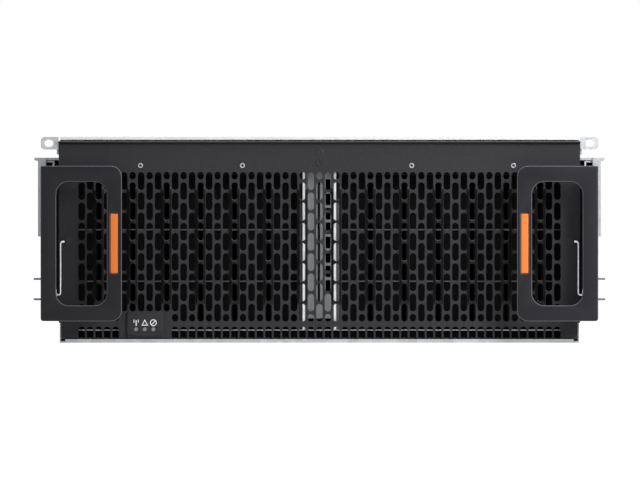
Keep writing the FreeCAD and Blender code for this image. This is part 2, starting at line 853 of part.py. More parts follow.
rail_start = front + size.rail_front
rail_end = rear - size.rail_rear_gap
rail_face_end = rail_start + size.rail_face_sheet
web_in = size.rail_web_out - size.rail_sheet
inner_lip = half_width + size.rail_inner_lip
middle_web = inner_lip + size.fit_gap
middle_lip = web_in - size.rail_middle_lip


def rail_member(name, start, end, outline):
    """A rolled steel member of constant section."""
    body = new_body(f"{name}_body")
    pad(body, f"{name}_profile", "XZ_Plane", start, end, outline)
    return body


def pair(name, item):
    """The right-hand piece and its mirror image, as two sub-parts."""
    node(f"{name}_right", item)
    node(f"{name}_left", mirror(f"{name}_mirror", item))


inner_in = ear_inner + size.rail_sheet
inner_low = size.rail_low + size.rail_inner_inset
inner_top = size.rail_top - size.rail_inner_inset
inner_member = rail_member("rail_inner", rail_start + size.rail_face_sheet * 2, rail_end, [
    (ear_inner, inner_low), (inner_lip, inner_low),
    (inner_lip, inner_low + size.rail_sheet), (inner_in, inner_low + size.rail_sheet),
    (inner_in, inner_top - size.rail_sheet), (inner_lip, inner_top - size.rail_sheet),
    (inner_lip, inner_top), (ear_inner, inner_top),
])
node("rail_inners", group("rail_inner_pair", [
    inner_member, mirror("rail_inner_mirror", inner_member)]))
middle_in = middle_web + size.rail_sheet
middle_low = size.rail_low + size.rail_sheet + size.rail_gap
middle_top = size.rail_top - size.rail_gap
pair("rail_middle", rail_member("rail_middle", rail_face_end + size.rail_sheet, rail_end, [
    (middle_web, middle_low), (middle_lip, middle_low),
    (middle_lip, middle_low + size.rail_sheet), (middle_in, middle_low + size.rail_sheet),
    (middle_in, middle_top - size.rail_sheet), (middle_lip, middle_top - size.rail_sheet),
    (middle_lip, middle_top), (middle_web, middle_top),
]))
outer_foot = middle_web + size.rail_sheet
outer_flange = half_width + size.wall_sheet
flange_top = size.rail_top + size.rail_plate
outer_member = rail_member("rail_outer", rail_face_end, rail_end, [
    (outer_foot, size.rail_low), (size.rail_web_out, size.rail_low),
    (size.rail_web_out, size.rail_top), (size.rail_reach, size.rail_top),
    (size.rail_reach, flange_top), (outer_flange, flange_top),
    (outer_flange, size.rail_top), (web_in, size.rail_top),
    (web_in, size.rail_low + size.rail_sheet), (outer_foot, size.rail_low + size.rail_sheet),
])
front_plate = rail_member("rail_front_plate", rail_start, rail_face_end, rectangle(
    middle_lip + size.rail_gap, size.rail_web_out, size.rail_low, flange_top))
rail_screw = rod("rail_screw", size.rail_screw_radius,
                 (web_in - size.rail_face_sheet, rail_start - size.rail_screw_proud,
                  size.rail_top - size.rail_screw_drop), size.rail_screw_proud, "y")
pair("rail_outer", fuse("rail_outer_solid", [outer_member, front_plate, rail_screw]))

# ---------------------------------------------------------------- drive bays


def row_front(index):
    """Front face of one row of drives, counted from the front."""
    start = front_rows_start if index < FRONT_ROWS else rear_rows_start
    place = index if index < FRONT_ROWS else index - FRONT_ROWS
    return start + place * size.row_pitch + (size.row_pitch - size.drive_depth) / 2


def row_centres(index):
    """Middle of each drive in a row; the front rows leave the duct free."""
    steps = range(-DRIVES_PER_SIDE, DRIVES_PER_SIDE + 1)
    return [size.drive_pitch * step for step in steps if step != 0 or index >= FRONT_ROWS]


def copies(name, item, places):
    """Copies of one solid at each place, as a single sub-part."""
    doc.recompute()
    row_item = doc.addObject("Part::Feature", name)
    solids = []
    for place in places:
        solid = item.Shape.copy()
        solid.translate(place)
        solids.append(solid)
    row_item.Shape = Part.makeCompound(solids)
    return row_item


drive_top = size.drive_low + size.drive_height
drive_half = size.drive_width / 2
drive = block("drive", (-drive_half, drive_half), (0, size.drive_depth),
              (size.drive_low, drive_top))
carrier_body = new_body("carrier_body")
carrier_top = drive_top + size.carrier_height
carrier_half = drive_half - size.carrier_inset / 2
carrier_end = size.drive_depth - size.carrier_inset
pad(carrier_body, "carrier_profile", "YZ_Plane", -carrier_half, carrier_half, [
    (size.carrier_inset, drive_top),
    (carrier_end, drive_top),
    (carrier_end, drive_top + size.carrier_inset),
    (carrier_end - size.carrier_slope, carrier_top),
    (size.carrier_inset, carrier_top),
])
board_top = size.board_low + size.board_sheet
connector_start = (size.drive_depth - size.connector_depth) / 2
connector = block("connector", (-size.connector_half, size.connector_half),
                  (connector_start, connector_start + size.connector_depth),
                  (board_top, size.drive_low - size.fit_gap))
zone_places = {"front": [], "rear": []}
for index in range(FRONT_ROWS + REAR_ROWS):
    zone = "front" if index < FRONT_ROWS else "rear"
    zone_places[zone] += [Vector(x.value, row_front(index).value, 0) for x in row_centres(index)]
for zone, places in zone_places.items():
    node(f"drives_{zone}", copies(f"drive_set_{zone}", drive, places))
all_places = zone_places["front"] + zone_places["rear"]
node("drive_carriers", copies("carrier_set", carrier_body, all_places))
node("drive_connectors", copies("connector_set", connector, all_places))

board_half = inner_half - size.duct_sheet
board_gap = 1
standoff = size.standoff_half
boards = []
posts = []
for zone, start, end in (("front", front_rows_start, beam_start - board_gap),
                         ("rear", rear_rows_start + board_gap, bay_start - board_gap)):
    board = block(f"baseplane_{zone}_board", (-board_half, board_half), (start, end),
                  (size.board_low, board_top))
    boards.append(board)
    posts += [block(f"{zone}_post_{column}_{line}",
                    (board_half * across - standoff, board_half * across + standoff),
                    (place - standoff, place + standoff), (size.base_sheet, size.board_low))
              for column, across in enumerate((-0.9, -0.02, 0.9))
              for line, place in enumerate((start + size.standoff_inset,
                                            end - size.standoff_inset))]
node("baseplanes", group("baseplane_boards", boards))
node("baseplane_standoffs", group("standoff_posts", posts))

# ---------------------------------------------------------------- centre duct

duct_top = size.chassis_height - size.duct_drop
duct_low = board_top + size.fit_gap
duct_run = (front_rows_start - size.duct_lead, beam_start - board_gap)
duct_parts = [block(f"duct_{side}", (low, high), duct_run, (duct_low, duct_top))
              for side, low, high in (
                  ("left", -size.duct_half, size.duct_sheet - size.duct_half),
                  ("right", size.duct_half - size.duct_sheet, size.duct_half))]
duct_parts.append(block("duct_roof", (-size.duct_half, size.duct_half), duct_run,
                        (duct_top - size.wall_sheet, duct_top)))
node("centre_duct", fuse("duct", duct_parts))
duct_inner = size.duct_half - size.duct_sheet - size.fit_gap
duct_panel_body = new_body("duct_panel_body")
duct_panel_start = front_rows_start - size.duct_lead + size.duct_sheet
duct_panel_end = duct_panel_start + size.wall_sheet
pad(duct_panel_body, "duct_plate", "XZ_Plane", duct_panel_start, duct_panel_end, rectangle(
    -duct_inner, duct_inner, size.duct_panel_low, duct_top - size.duct_panel_drop))
pocket(duct_panel_body, "duct_slit", "XZ_Plane", duct_panel_start, duct_panel_end, rectangle(
    -size.duct_slit_left, size.duct_slit_right, size.duct_slit_low, size.duct_slit_top))
window = pocket(duct_panel_body, "ladder_window", "XZ_Plane", duct_panel_start, duct_panel_end,
                rectangle(size.ladder_left, size.ladder_left + size.ladder_width,
                          size.ladder_low, size.ladder_low + size.ladder_window))
ladder = duct_panel_body.newObject("PartDesign::LinearPattern", "ladder")
ladder.Originals = [window]
ladder.Direction = (origin_feature(duct_panel_body, "Z_Axis"), [""])
bind(ladder, "Length", size.ladder_pitch * (LADDER_STEPS - 1))
ladder.Occurrences = LADDER_STEPS
duct_panel_body.Tip = ladder
node("duct_panel", duct_panel_body)

# ---------------------------------------------------------------- drive cages


def cage(zone, first, count, centre_free):
    """Thin rails across the front of each row and a post at each end."""
    parts = []
    wall = inner_half - size.fit_gap
    duct = size.duct_half + size.fit_gap
    spans = [(duct, wall), (-wall, -duct)] if centre_free else [(-wall, wall)]
    for index in range(first, first + count):
        back = row_front(index) - size.fit_gap
        depth = (back - size.cage_bar, back)
        for number, (left, right) in enumerate(spans):
            tag = f"{zone}_{index}_{number}"
            rails = [block(f"cage_rail_{tag}_{height:.0f}", (left, right), depth,
                           (height - size.cage_rail / 2, height + size.cage_rail / 2))
                     for height in CAGE_HEIGHTS]
            posts = [block(f"cage_post_{tag}_{place}", span, depth, (board_top, drive_top))
                     for place, span in (("a", (left, left + size.cage_post)),
                                         ("b", (right - size.cage_post, right)))]
            parts.append(fuse(f"cage_frame_{tag}", rails + posts))
    return parts


node("drive_cages", group("cage_frames", cage("front", 0, FRONT_ROWS, True)
                          + cage("rear", FRONT_ROWS, REAR_ROWS, False)))

# ---------------------------------------------------------------- cross beams

beam_top = hinge_height - size.knuckle_radius - size.fit_gap * 2
beam_half = inner_half - size.fit_gap


def knuckles(name, y, width, places, foot_z):
    """Round hinge barrels on square feet, one at each place."""
    parts = []
    for index, x in enumerate(places):
        parts.append(rod(f"{name}_barrel_{index}", size.knuckle_radius,
                         (x - width / 2, y, hinge_height), width, "x"))
        parts.append(block(f"{name}_foot_{index}", (x - width / 2, x + width / 2),
                           (y - size.knuckle_radius, y + size.knuckle_radius),
                           (foot_z, hinge_height)))
    return parts


pair_offset = (size.lid_knuckle_width + size.knuckle_width) / 2 + size.fit_gap
knuckle_places = [size.hinge_across * side + pair_offset * step
                  for side in (-1, 1) for step in (-1, 1)]


def hinge_bore(name, y):
    reach = size.hinge_across + size.lid_knuckle_width * 3
    return rod(name, size.pin_radius + size.pin_clearance, (-reach, y, hinge_height),
               reach * 2, "x")


def beam(name, start, hinge_y):
    """A portal across the chassis that carries the hinge of one lid."""
    end = start + size.beam_depth
    past = size.wall_sheet
    blank = block(f"{name}_blank", (-beam_half, beam_half), (start, end),
                  (size.base_sheet, beam_top))
    cuts = [block(f"{name}_window_{index}",
                  ((beam_half * index + size.beam_post) / 2,
                   (beam_half * (index + 1) - size.beam_post) / 2),
                  (start - past, end + past),
                  (size.beam_window_low, beam_top - size.beam_window_drop))
            for index in (-2, -1, 0, 1)]
    cuts.append(block(f"{name}_channel", (-beam_half - past, beam_half + past),
                      (start + size.beam_sheet, end + past),
                      (size.base_sheet + size.beam_sheet, beam_top - size.beam_sheet)))
    frame = cut(f"{name}_frame", blank, cuts)
    solid = fuse(f"{name}_solid", [frame] + knuckles(
        name, hinge_y, size.knuckle_width, knuckle_places, beam_top - size.beam_sheet))
    return node(name, cut(f"{name}_bored", solid, [hinge_bore(f"{name}_bore", hinge_y)]))


beam("cross_beam", beam_start, front_hinge)
beam("bay_beam", bay_start, rear_hinge)
pin_length = size.lid_knuckle_width + 2 * size.knuckle_width + 2 * size.fit_gap
node("lid_hinge_pins", group("hinge_pins", [
    rod(f"{name}_pin_{side}", size.pin_radius,
        (size.hinge_across * side - pin_length / 2, hinge_y, hinge_height), pin_length, "x")
    for name, hinge_y in (("front", front_hinge), ("rear", rear_hinge))
    for side in (-1, 1)]))

# ---------------------------------------------------------------- lids

lid_half = half_width - 0.4
plate_low = lid_top - size.lid_sheet
hem_low = size.chassis_height + size.fit_gap


def lid(name, start, end):
    """A flat lid with a turned-down hem on three sides."""
    body = new_body(f"{name}_body")
    pad(body, f"{name}_plate", "XY_Plane", plate_low, lid_top,
        rectangle(-lid_half, lid_half, start, end))
    pad(body, f"{name}_hem", "XY_Plane", hem_low, plate_low, [
        (-lid_half, start), (lid_half, start), (lid_half, end),
        (lid_half - size.lid_hem, end), (lid_half - size.lid_hem, start + size.lid_hem),
        (size.lid_hem - lid_half, start + size.lid_hem), (size.lid_hem - lid_half, end),
        (-lid_half, end),
    ])
    return body


lid_places = [-size.hinge_across, size.hinge_across]
for name, start, hinge_y in (("front_lid", front + 0.6, front_hinge),
                             ("rear_lid", front_hinge + size.hinge_gap, rear_hinge)):
    lid_body = lid(name, start, hinge_y - size.knuckle_radius - 0.2)
    arms = []
    for index, x in enumerate(lid_places):
        arms.append(rod(f"{name}_barrel_{index}", size.knuckle_radius,
                        (x - size.lid_knuckle_width / 2, hinge_y, hinge_height),
                        size.lid_knuckle_width, "x"))
        arms.append(block(f"{name}_arm_{index}",
                          (x - size.lid_knuckle_width / 2, x + size.lid_knuckle_width / 2),
                          (hinge_y - size.knuckle_radius - 4, hinge_y),
                          (hinge_height, plate_low)))
    node(name, cut(f"{name}_bored", fuse(f"{name}_solid", [lid_body] + arms),
                   [hinge_bore(f"{name}_bore", hinge_y)]))
node("rear_top_panel", lid("rear_top", rear_hinge + size.hinge_gap, rear))

# ---------------------------------------------------------------- rear bay

shelf_low = size.shelf_height
shelf_high = shelf_low + size.wall_sheet
module_low = size.base_sheet + 0.6
lower_top = shelf_low - 0.6
upper_low = shelf_high + 0.6
upper_top = flange_low - 1.4
io_left = [-size.io_width - size.module_gap, size.module_gap]
psu_left = [io_left[0] - size.module_gap * 2 - size.psu_width,
            io_left[1] + size.io_width + size.module_gap * 2]
fan_width = (beam_half * 2 - size.module_gap * 2 * (FAN_COUNT + 1)) / FAN_COUNT
fan_left = [-beam_half + size.module_gap * 2 + (fan_width + size.module_gap * 2) * index
            for index in range(FAN_COUNT)]


def divider(name, x, start, z):
    """An upright sheet between two bays, seen edge on from the back."""
    half = size.wall_sheet / 2
    return block(name, (x - half, x + half), (start, rear), z)


# Welded sheets: a shelf across the bay, upright dividers and a strip along the top
shelf_start = bay_start + size.beam_depth + 4
strip_low = upper_top + size.fit_gap
side_sheet = beam_half - size.wall_sheet / 2
lower_places = [-side_sheet, io_left[0] - size.module_gap, length(0),
                io_left[1] + size.io_width + size.module_gap, side_sheet]
upper_places = [-side_sheet] + [left - size.module_gap for left in fan_left[1:]] + [side_sheet]
rear_sheets = [
    block("shelf", (-beam_half, beam_half), (shelf_start, rear), (shelf_low, shelf_high)),
    block("top_strip", (-beam_half, beam_half), (rear - size.strip_depth, rear),
          (strip_low, flange_low - size.fit_gap)),
]
for index, place in enumerate(lower_places):
    rear_sheets.append(divider(f"lower_divider_{index}", place, shelf_start,
                               (size.base_sheet, shelf_low)))
for index, place in enumerate(upper_places):
    rear_sheets.append(divider(f"upper_divider_{index}", place, rear - size.fan_depth,
                               (shelf_high, strip_low)))
node("rear_frame", group("rear_frame_sheets", rear_sheets))

midplane_y = bay_start + size.beam_depth + 1
node("midplane", block("midplane_board", (-beam_half + 2, beam_half - 2),
                       (midplane_y, midplane_y + size.board_sheet), (size.base_sheet + 0.2, 168)))

# ---------------------------------------------------------------- fan modules

face = rear + size.face_proud
fan_start = rear - size.fan_depth
fan_mid = (upper_low + upper_top) / 2
rotor_start = fan_start + size.rotor_setback
rotor_end = rotor_start + size.rotor_depth
boss_start = rotor_end + size.fit_gap * 2


def many_sided(radius, x, start, z, reach):
    """A prism along Y with many flat sides, which stands for a large round form."""
    turns = [360 / ROUND_SIDES * step for step in range(ROUND_SIDES)]
    rim = [Vector(x, start, z) + Rotation(Vector(0, 1, 0), turn).multVec(Vector(radius, 0, 0))
           for turn in turns]
    return Part.Face(Part.makePolygon(rim + rim[:1])).extrude(Vector(0, reach, 0))


def round_form(name, radius, x, start, z, end):
    """The same prism as an object of the document."""
    item = doc.addObject("Part::Feature", name)
    item.Shape = many_sided(length(radius).value, x.value, length(start).value, z.value,
                            (length(end) - start).value)
    return item


def fan_blade():
    """A flat blade that stands out from the hub along Z, turned to its pitch."""
    thick = size.blade_sheet.value
    chord = size.blade_chord.value
    root = (size.fan_hub - size.blade_sheet * 3).value
    reach = (size.fan_bore + size.blade_sheet * 3).value - root
    blade = Part.makeBox(thick, chord, reach, Vector(-thick / 2, -chord / 2, root))
    blade.rotate(Vector(), Vector(0, 0, 1), BLADE_PITCH_DEGREES)
    return blade


def fan_rotor(x, z):
    """Hub and blades about an axis along Y."""
    start = rotor_start.value
    depth = size.rotor_depth.value
    hub = many_sided(size.fan_hub.value, x, start, z, depth)
    blade = fan_blade()
    blades = []
    for index in range(BLADE_COUNT):
        turned = blade.copy()
        turned.rotate(Vector(), Vector(0, 1, 0), 360 / BLADE_COUNT * index)
        turned.translate(Vector(x, start + depth / 2, z))
        blades.append(turned)
    sweep = many_sided((size.fan_bore - size.blade_tip).value, x, start, z, depth)
    shaft_hole = Part.makeCylinder((size.pin_radius + size.pin_clearance).value, depth,
                                   Vector(x, start, z), Vector(0, 1, 0))
    return hub.fuse(blades).common(sweep).cut(shaft_hole)


for index, left in enumerate(fan_left, start=1):
    centre = left + fan_width / 2
    shell = block(f"fan_shell_{index}", (left, left + fan_width), (fan_start, face),
                  (upper_low, upper_top))
    outlet_start = rear - size.fan_outlet_lip
    bore = round_form(f"fan_bore_{index}", size.fan_bore, centre,
                      fan_start - size.face_proud, fan_mid, outlet_start)
    outlet = round_form(f"fan_outlet_{index}", size.fan_bore - size.fan_outlet_lip, centre,
                        outlet_start - size.face_proud, fan_mid, face + size.face_proud)
    hollow = cut(f"fan_hollow_{index}", shell, [bore, outlet])
    bar = size.guard_bar / 2
    spokes = [block(f"fan_spoke_{index}_{name}", (centre - half_x, centre + half_x),
                    (face - size.guard_bar, face), (fan_mid - half_z, fan_mid + half_z))
              for name, half_x, half_z in (("a", size.fan_bore, bar), ("b", bar, size.fan_bore))]
    boss = round_form(f"fan_boss_{index}", size.fan_hub, centre, boss_start, fan_mid, face)
    shaft = rod(f"fan_shaft_{index}", size.pin_radius,
                (centre, rotor_start + size.fan_outlet_lip, fan_mid),
                boss_start + size.face_proud - rotor_start - size.fan_outlet_lip, "y")
    pull = block(f"fan_pull_{index}", (centre - size.pull_width / 2, centre + size.pull_width / 2),
                 (face, face + size.pull_reach),
                 (upper_top - size.pull_sheet * 2, upper_top - size.pull_sheet))
    node(f"fan_module_{index}", fuse(f"fan_case_{index}", [hollow, boss, shaft, pull] + spokes))
    rotor = doc.addObject("Part::Feature", f"rotor_{index}")
    rotor.Shape = fan_rotor(centre.value, fan_mid.value)
    node(f"fan_rotor_{index}", rotor)

# ---------------------------------------------------------------- power supplies

psu_start = rear - size.psu_depth
past_face = face + size.face_proud
bail_pivot = lower_top - size.bail_setback
bail_low = bail_pivot - size.bail_drop
bail_y = face + size.bail_stand
pin_y = bail_y + size.bail_bar / 2
lug_half = size.lug_sheet
inlet_low = module_low + size.inlet_low
release_low = bail_pivot + size.pin_radius * 3
stem_low = release_low + (size.release_height - size.release_stem) / 2
for index, left in enumerate(psu_left, start=1):
    right = left + size.psu_width
    lug_left = left + size.lug_inset
    lug_right = right - size.lug_inset
    case = block(f"psu_case_{index}", (left, right), (psu_start, face), (module_low, lower_top))
    inlet_left = left + size.inlet_left
    inlet = block(f"psu_inlet_{index}", (inlet_left, inlet_left + size.inlet_width),
                  (rear - size.inlet_depth, past_face),
                  (inlet_low, inlet_low + size.inlet_height))
    vent = rod(f"psu_vent_{index}", size.vent_radius,
               (right - size.vent_inset, rear - size.vent_depth, module_low + size.vent_inset),
               past_face - rear + size.vent_depth, "y")
    lugs = [block(f"psu_lug_{index}_{side}", (x, x + size.lug_sheet),
                  (face, pin_y + lug_half), (bail_pivot - lug_half, bail_pivot + lug_half))
            for side, x in (("a", lug_left), ("b", lug_right - size.lug_sheet))]
    bore = rod(f"psu_bail_bore_{index}", size.pin_radius + size.pin_clearance,
               (left, pin_y, bail_pivot), size.psu_width, "x")
    head_left = lug_right - size.release_width
    stem_left = head_left + size.release_travel
    slot_left = stem_left - size.release_travel - size.face_proud
    release_slot = block(f"psu_release_slot_{index}", (slot_left, lug_right + size.fit_gap),
                         (rear - size.release_travel, past_face),
                         (stem_low - size.fit_gap, stem_low + size.release_stem + size.fit_gap))
    node(f"psu_{index}", cut(f"psu_shell_{index}", fuse(
        f"psu_solid_{index}", [case] + lugs), [inlet, vent, bore, release_slot]))
    arm_left = lug_left + size.lug_sheet + size.fit_gap
    arm_right = lug_right - size.lug_sheet - size.fit_gap
    arms = [block(f"bail_arm_{index}_{side}", (x, x + size.bail_arm),
                  (bail_y, bail_y + size.bail_bar), (bail_low, bail_pivot + size.bail_bar / 2))
            for side, x in (("a", arm_left), ("b", arm_right - size.bail_arm))]
    grip = block(f"bail_grip_{index}", (arm_left, arm_right), (bail_y, rear + size.rear_reach),
                 (bail_low, bail_low + size.bail_grip))
    studs = [rod(f"bail_stud_{index}_{side}", size.pin_radius, (x, pin_y, bail_pivot),
                 size.lug_sheet + size.fit_gap, "x")
             for side, x in (("a", lug_left), ("b", arm_right))]
    node(f"psu_bail_{index}", fuse(f"bail_{index}", arms + [grip] + studs))
    head_start = face + size.fit_gap
    release = fuse(f"psu_release_solid_{index}", [
        block(f"psu_release_stem_{index}", (stem_left, stem_left + size.release_stem),
              (rear - size.release_travel + size.fit_gap, head_start + size.face_proud),
              (stem_low, stem_low + size.release_stem)),
        block(f"psu_release_head_{index}", (head_left, lug_right),
              (head_start, rear + size.release_reach),
              (release_low, release_low + size.release_height))])
    node(f"psu_release_{index}", release)

# ---------------------------------------------------------------- io modules

io_start = rear - size.psu_depth
io_face = rear - size.face_proud
tray_top = module_low + size.wall_sheet
port_low = module_low + size.port_low
socket_gap = size.socket_gap
socket_top = port_low + size.port_height - socket_gap
lever_y = rear + size.bail_stand
lever_low = module_low + size.lever_low
lever_top = lever_low + size.lever_height
lug_drop = size.lever_lug + size.fit_gap
for index, left in enumerate(io_left, start=1):
    right = left + size.io_width
    tray_left = left + size.wall_sheet
    tray_right = right - size.wall_sheet
    tray_body = new_body(f"io_tray_body_{index}")
    pad(tray_body, f"tray_{index}", "XZ_Plane", io_start, io_face, [
        (left, module_low), (right, module_low), (right, lower_top),
        (tray_right, lower_top), (tray_right, tray_top),
        (tray_left, tray_top), (tray_left, lower_top), (left, lower_top),
    ])
    pad(tray_body, f"io_face_{index}", "XZ_Plane", io_face, face,
        rectangle(left, right, module_low, lower_top))
    port_lefts = [left + size.port_left + size.port_pitch * place
                  for place in range(PORTS_PER_MODULE)]
    port_lefts.append(right - size.jack_inset)
    ports = [block(f"port_window_{index}_{place}", (low, low + size.port_width),
                   (io_face - size.face_proud, past_face),
                   (port_low, port_low + size.port_height))
             for place, low in enumerate(port_lefts)]
    lever_pin_x = right - size.lug_inset
    lug_x = (lever_pin_x - size.lever_bar + 1, lever_pin_x + size.lever_bar - 1)
    lugs = [block(f"io_lug_{index}_{place}", lug_x, (face, lever_y + size.lever_bar - 1),
                  (low, low + size.lever_lug))
            for place, low in (("a", lever_low - lug_drop), ("b", lever_top + size.fit_gap))]
    pin = rod(f"io_pin_{index}", size.pin_radius, (lever_pin_x, lever_y, lever_low - lug_drop),
              size.lever_height + lug_drop * 2, "z")
    node(f"io_module_{index}", fuse(f"io_shell_{index}", [
        cut(f"io_cut_{index}", tray_body, ports)] + lugs + [pin]))
    board_low = module_low + size.io_board_low
    board_end = io_face - size.fit_gap
    board = block(f"io_board_{index}_sheet", (left + size.duct_sheet, right - size.duct_sheet),
                  (io_start + size.duct_sheet, board_end),
                  (board_low, board_low + size.board_sheet))
    sockets = []
    for place, low in enumerate(port_lefts):
        across = (low + socket_gap, low + size.port_width - socket_gap)
        sockets.append(block(f"socket_body_{index}_{place}", across,
                             (rear - size.socket_depth, board_end),
                             (board_low + size.face_proud, socket_top)))
        sockets.append(block(f"socket_nose_{index}_{place}", across,
                             (io_face - size.face_proud, face - socket_gap),
                             (port_low + socket_gap, socket_top)))
    foot_start = io_start + size.port_pitch
    board_foot = block(f"io_foot_{index}", (left + size.port_pitch, left + size.port_pitch * 1.5),
                       (foot_start, foot_start + size.port_width),
                       (tray_top, board_low + socket_gap))
    node(f"io_board_{index}", fuse(f"io_board_fuse_{index}", [board, board_foot] + sockets))
    lever = fuse(f"io_lever_blank_{index}", [
        block(f"io_lever_bar_{index}", (left + size.lever_start, lever_pin_x),
              (lever_y - size.lever_bar / 2, lever_y + size.lever_bar / 2),
              (lever_low, lever_top)),
        rod(f"io_lever_eye_{index}", size.lever_eye, (lever_pin_x, lever_y, lever_low),
            size.lever_height, "z")])
    node(f"io_lever_{index}", cut(f"io_lever_bored_{index}", lever, [
        rod(f"io_lever_bore_{index}", size.pin_radius + size.pin_clearance,
            (lever_pin_x, lever_y, module_low), size.inlet_width, "z")]))

# ---------------------------------------------------------------- output

doc.recompute()
for item in doc.Objects:
    if "Invalid" in item.State or "Error" in item.State:
        raise RuntimeError(f"{item.Name} did not build: {item.State}")
for name, item in nodes.items():
    if item.Shape.isNull() or not item.Shape.isValid() or not item.Shape.Solids:
        raise RuntimeError(f"{name} has no valid solid")
os.makedirs("parts", exist_ok=True)
for name, item in nodes.items():
    item.Shape.exportStep(f"parts/{name}.step")
print(len(nodes), "sub-parts written")
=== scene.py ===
import json
import math

import bmesh
import bpy
from mathutils import Matrix, Vector


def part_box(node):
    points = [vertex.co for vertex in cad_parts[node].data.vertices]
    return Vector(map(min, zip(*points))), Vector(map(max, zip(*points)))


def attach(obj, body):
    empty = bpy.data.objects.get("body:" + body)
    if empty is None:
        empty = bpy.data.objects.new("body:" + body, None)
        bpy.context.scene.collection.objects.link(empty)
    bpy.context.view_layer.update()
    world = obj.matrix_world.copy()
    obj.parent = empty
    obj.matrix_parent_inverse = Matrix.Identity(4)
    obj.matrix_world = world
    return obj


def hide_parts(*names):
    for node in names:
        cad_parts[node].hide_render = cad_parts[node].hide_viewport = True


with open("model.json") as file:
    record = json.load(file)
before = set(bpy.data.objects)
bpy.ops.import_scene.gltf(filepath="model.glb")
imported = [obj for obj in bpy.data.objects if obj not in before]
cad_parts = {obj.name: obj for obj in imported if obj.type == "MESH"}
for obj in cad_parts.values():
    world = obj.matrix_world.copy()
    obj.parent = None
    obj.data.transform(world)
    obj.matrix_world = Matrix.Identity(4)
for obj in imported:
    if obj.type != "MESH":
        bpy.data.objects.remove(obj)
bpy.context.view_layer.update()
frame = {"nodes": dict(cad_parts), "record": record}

MM = 0.001

# ---------------------------------------------------------------- materials


class Finish:
    """A procedural material, built node by node around one Principled shader."""

    def __init__(self, name, roughness, metallic=0.0):
        self.material = bpy.data.materials.new(name)
        self.material.use_nodes = True
        self.tree = self.material.node_tree
        self.shader = self.tree.nodes["Principled BSDF"]
        self.shader.inputs["Roughness"].default_value = roughness
        self.shader.inputs["Metallic"].default_value = metallic
        self.place = self.add("ShaderNodeTexCoord").outputs["Object"]

    def add(self, kind, **values):
        item = self.tree.nodes.new(kind)
        for key, value in values.items():
            if hasattr(item, key):
                setattr(item, key, value)
            else:
                item.inputs[key.replace("_", " ")].default_value = value
        return item

    def join(self, output, socket):
        self.tree.links.new(output, socket)

    def stretched(self, scale):
        """Object coordinates, scaled on each axis."""
        item = self.add("ShaderNodeMapping")
        item.inputs["Scale"].default_value = scale
        self.join(self.place, item.inputs["Vector"])
        return item.outputs["Vector"]

    def noise(self, scale, detail=3.0, stretch=(1, 1, 1)):
        item = self.add("ShaderNodeTexNoise", Scale=scale, Detail=detail)
        self.join(self.stretched(stretch), item.inputs["Vector"])
        return item.outputs["Fac"]

    def crystals(self, scale, stretch=(1, 1, 1)):
        """Flat patches of random grey, as zinc crystals have."""
        item = self.add("ShaderNodeTexVoronoi", Scale=scale)
        self.join(self.stretched(stretch), item.inputs["Vector"])
        grey = self.add("ShaderNodeRGBToBW")
        self.join(item.outputs["Color"], grey.inputs["Color"])
        return grey.outputs["Val"]

    def ramp(self, source, stops):
        item = self.add("ShaderNodeValToRGB")
        points = item.color_ramp.elements
        while len(points) < len(stops):
            points.new(0.5)
        for point, (place, color) in zip(points, stops):
            point.position = place
            point.color = (*color, 1.0)
        self.join(source, item.inputs["Fac"])
        return item.outputs["Color"]

    def coat(self):
        """The colour that the shader has so far."""
        return self.shader.inputs["Base Color"].links[0].from_socket

    def paint(self, output):
        """Gives the shader a colour, in place of the one that it had."""
        self.join(output, self.shader.inputs["Base Color"])

    def color(self, source, dark, light, low=0.3, high=0.7):
        self.paint(self.ramp(source, [(low, dark), (high, light)]))

    def rough(self, source, smooth, dull, low=0.3, high=0.7):
        item = self.add("ShaderNodeMapRange")
        for name, value in (("From Min", low), ("From Max", high),
                            ("To Min", smooth), ("To Max", dull)):
            item.inputs[name].default_value = value
        self.join(source, item.inputs["Value"])
        self.join(item.outputs["Result"], self.shader.inputs["Roughness"])

    def bump(self, source, strength, reach):
        item = self.add("ShaderNodeBump", Strength=strength, Distance=reach)
        self.join(source, item.inputs["Height"])
        self.join(item.outputs["Normal"], self.shader.inputs["Normal"])


MATT_SHEEN = 0.14
DULL_SHEEN = 0.03
COAT_RELIEF = 0.00012
METAL_RELIEF = 0.0001
GRAIN_LINES = (1, 0.08, 1)
BOARD_CELLS = (1, 0.35, 1)


def scaled(color, factor):
    return tuple(min(1.0, part * factor) for part in color)


def coated(name, color, roughness, grain=900, spread=0.16, relief=0.16,
           sheen=MATT_SHEEN):
    """Powder coat or moulded plastic: a fine even texture with soft mottling.

    The colour is None where another function paints it.
    """
    finish = Finish(name, roughness)
    finish.shader.inputs["Specular IOR Level"].default_value = sheen
    if color:
        finish.color(finish.noise(grain, 4.0), scaled(color, 1 - spread),
                     scaled(color, 1 + spread))
    finish.rough(finish.noise(35, 4.0), roughness - 0.06, roughness + 0.07)
    finish.bump(finish.noise(grain * 1.6, 2.0), relief, COAT_RELIEF)
    return finish


def galvanised(name, color, roughness, scale=150, metallic=0.85):
    """Zinc-coated sheet with soft spangle and a faint rolling grain."""
    finish = Finish(name, roughness, metallic)
    finish.color(finish.crystals(scale), scaled(color, 0.86), scaled(color, 1.08), 0.15, 0.85)
    finish.rough(finish.noise(60, 5.0), roughness - 0.08, roughness + 0.1)
    finish.bump(finish.noise(500, 2.0, GRAIN_LINES), 0.06, METAL_RELIEF)
    return finish


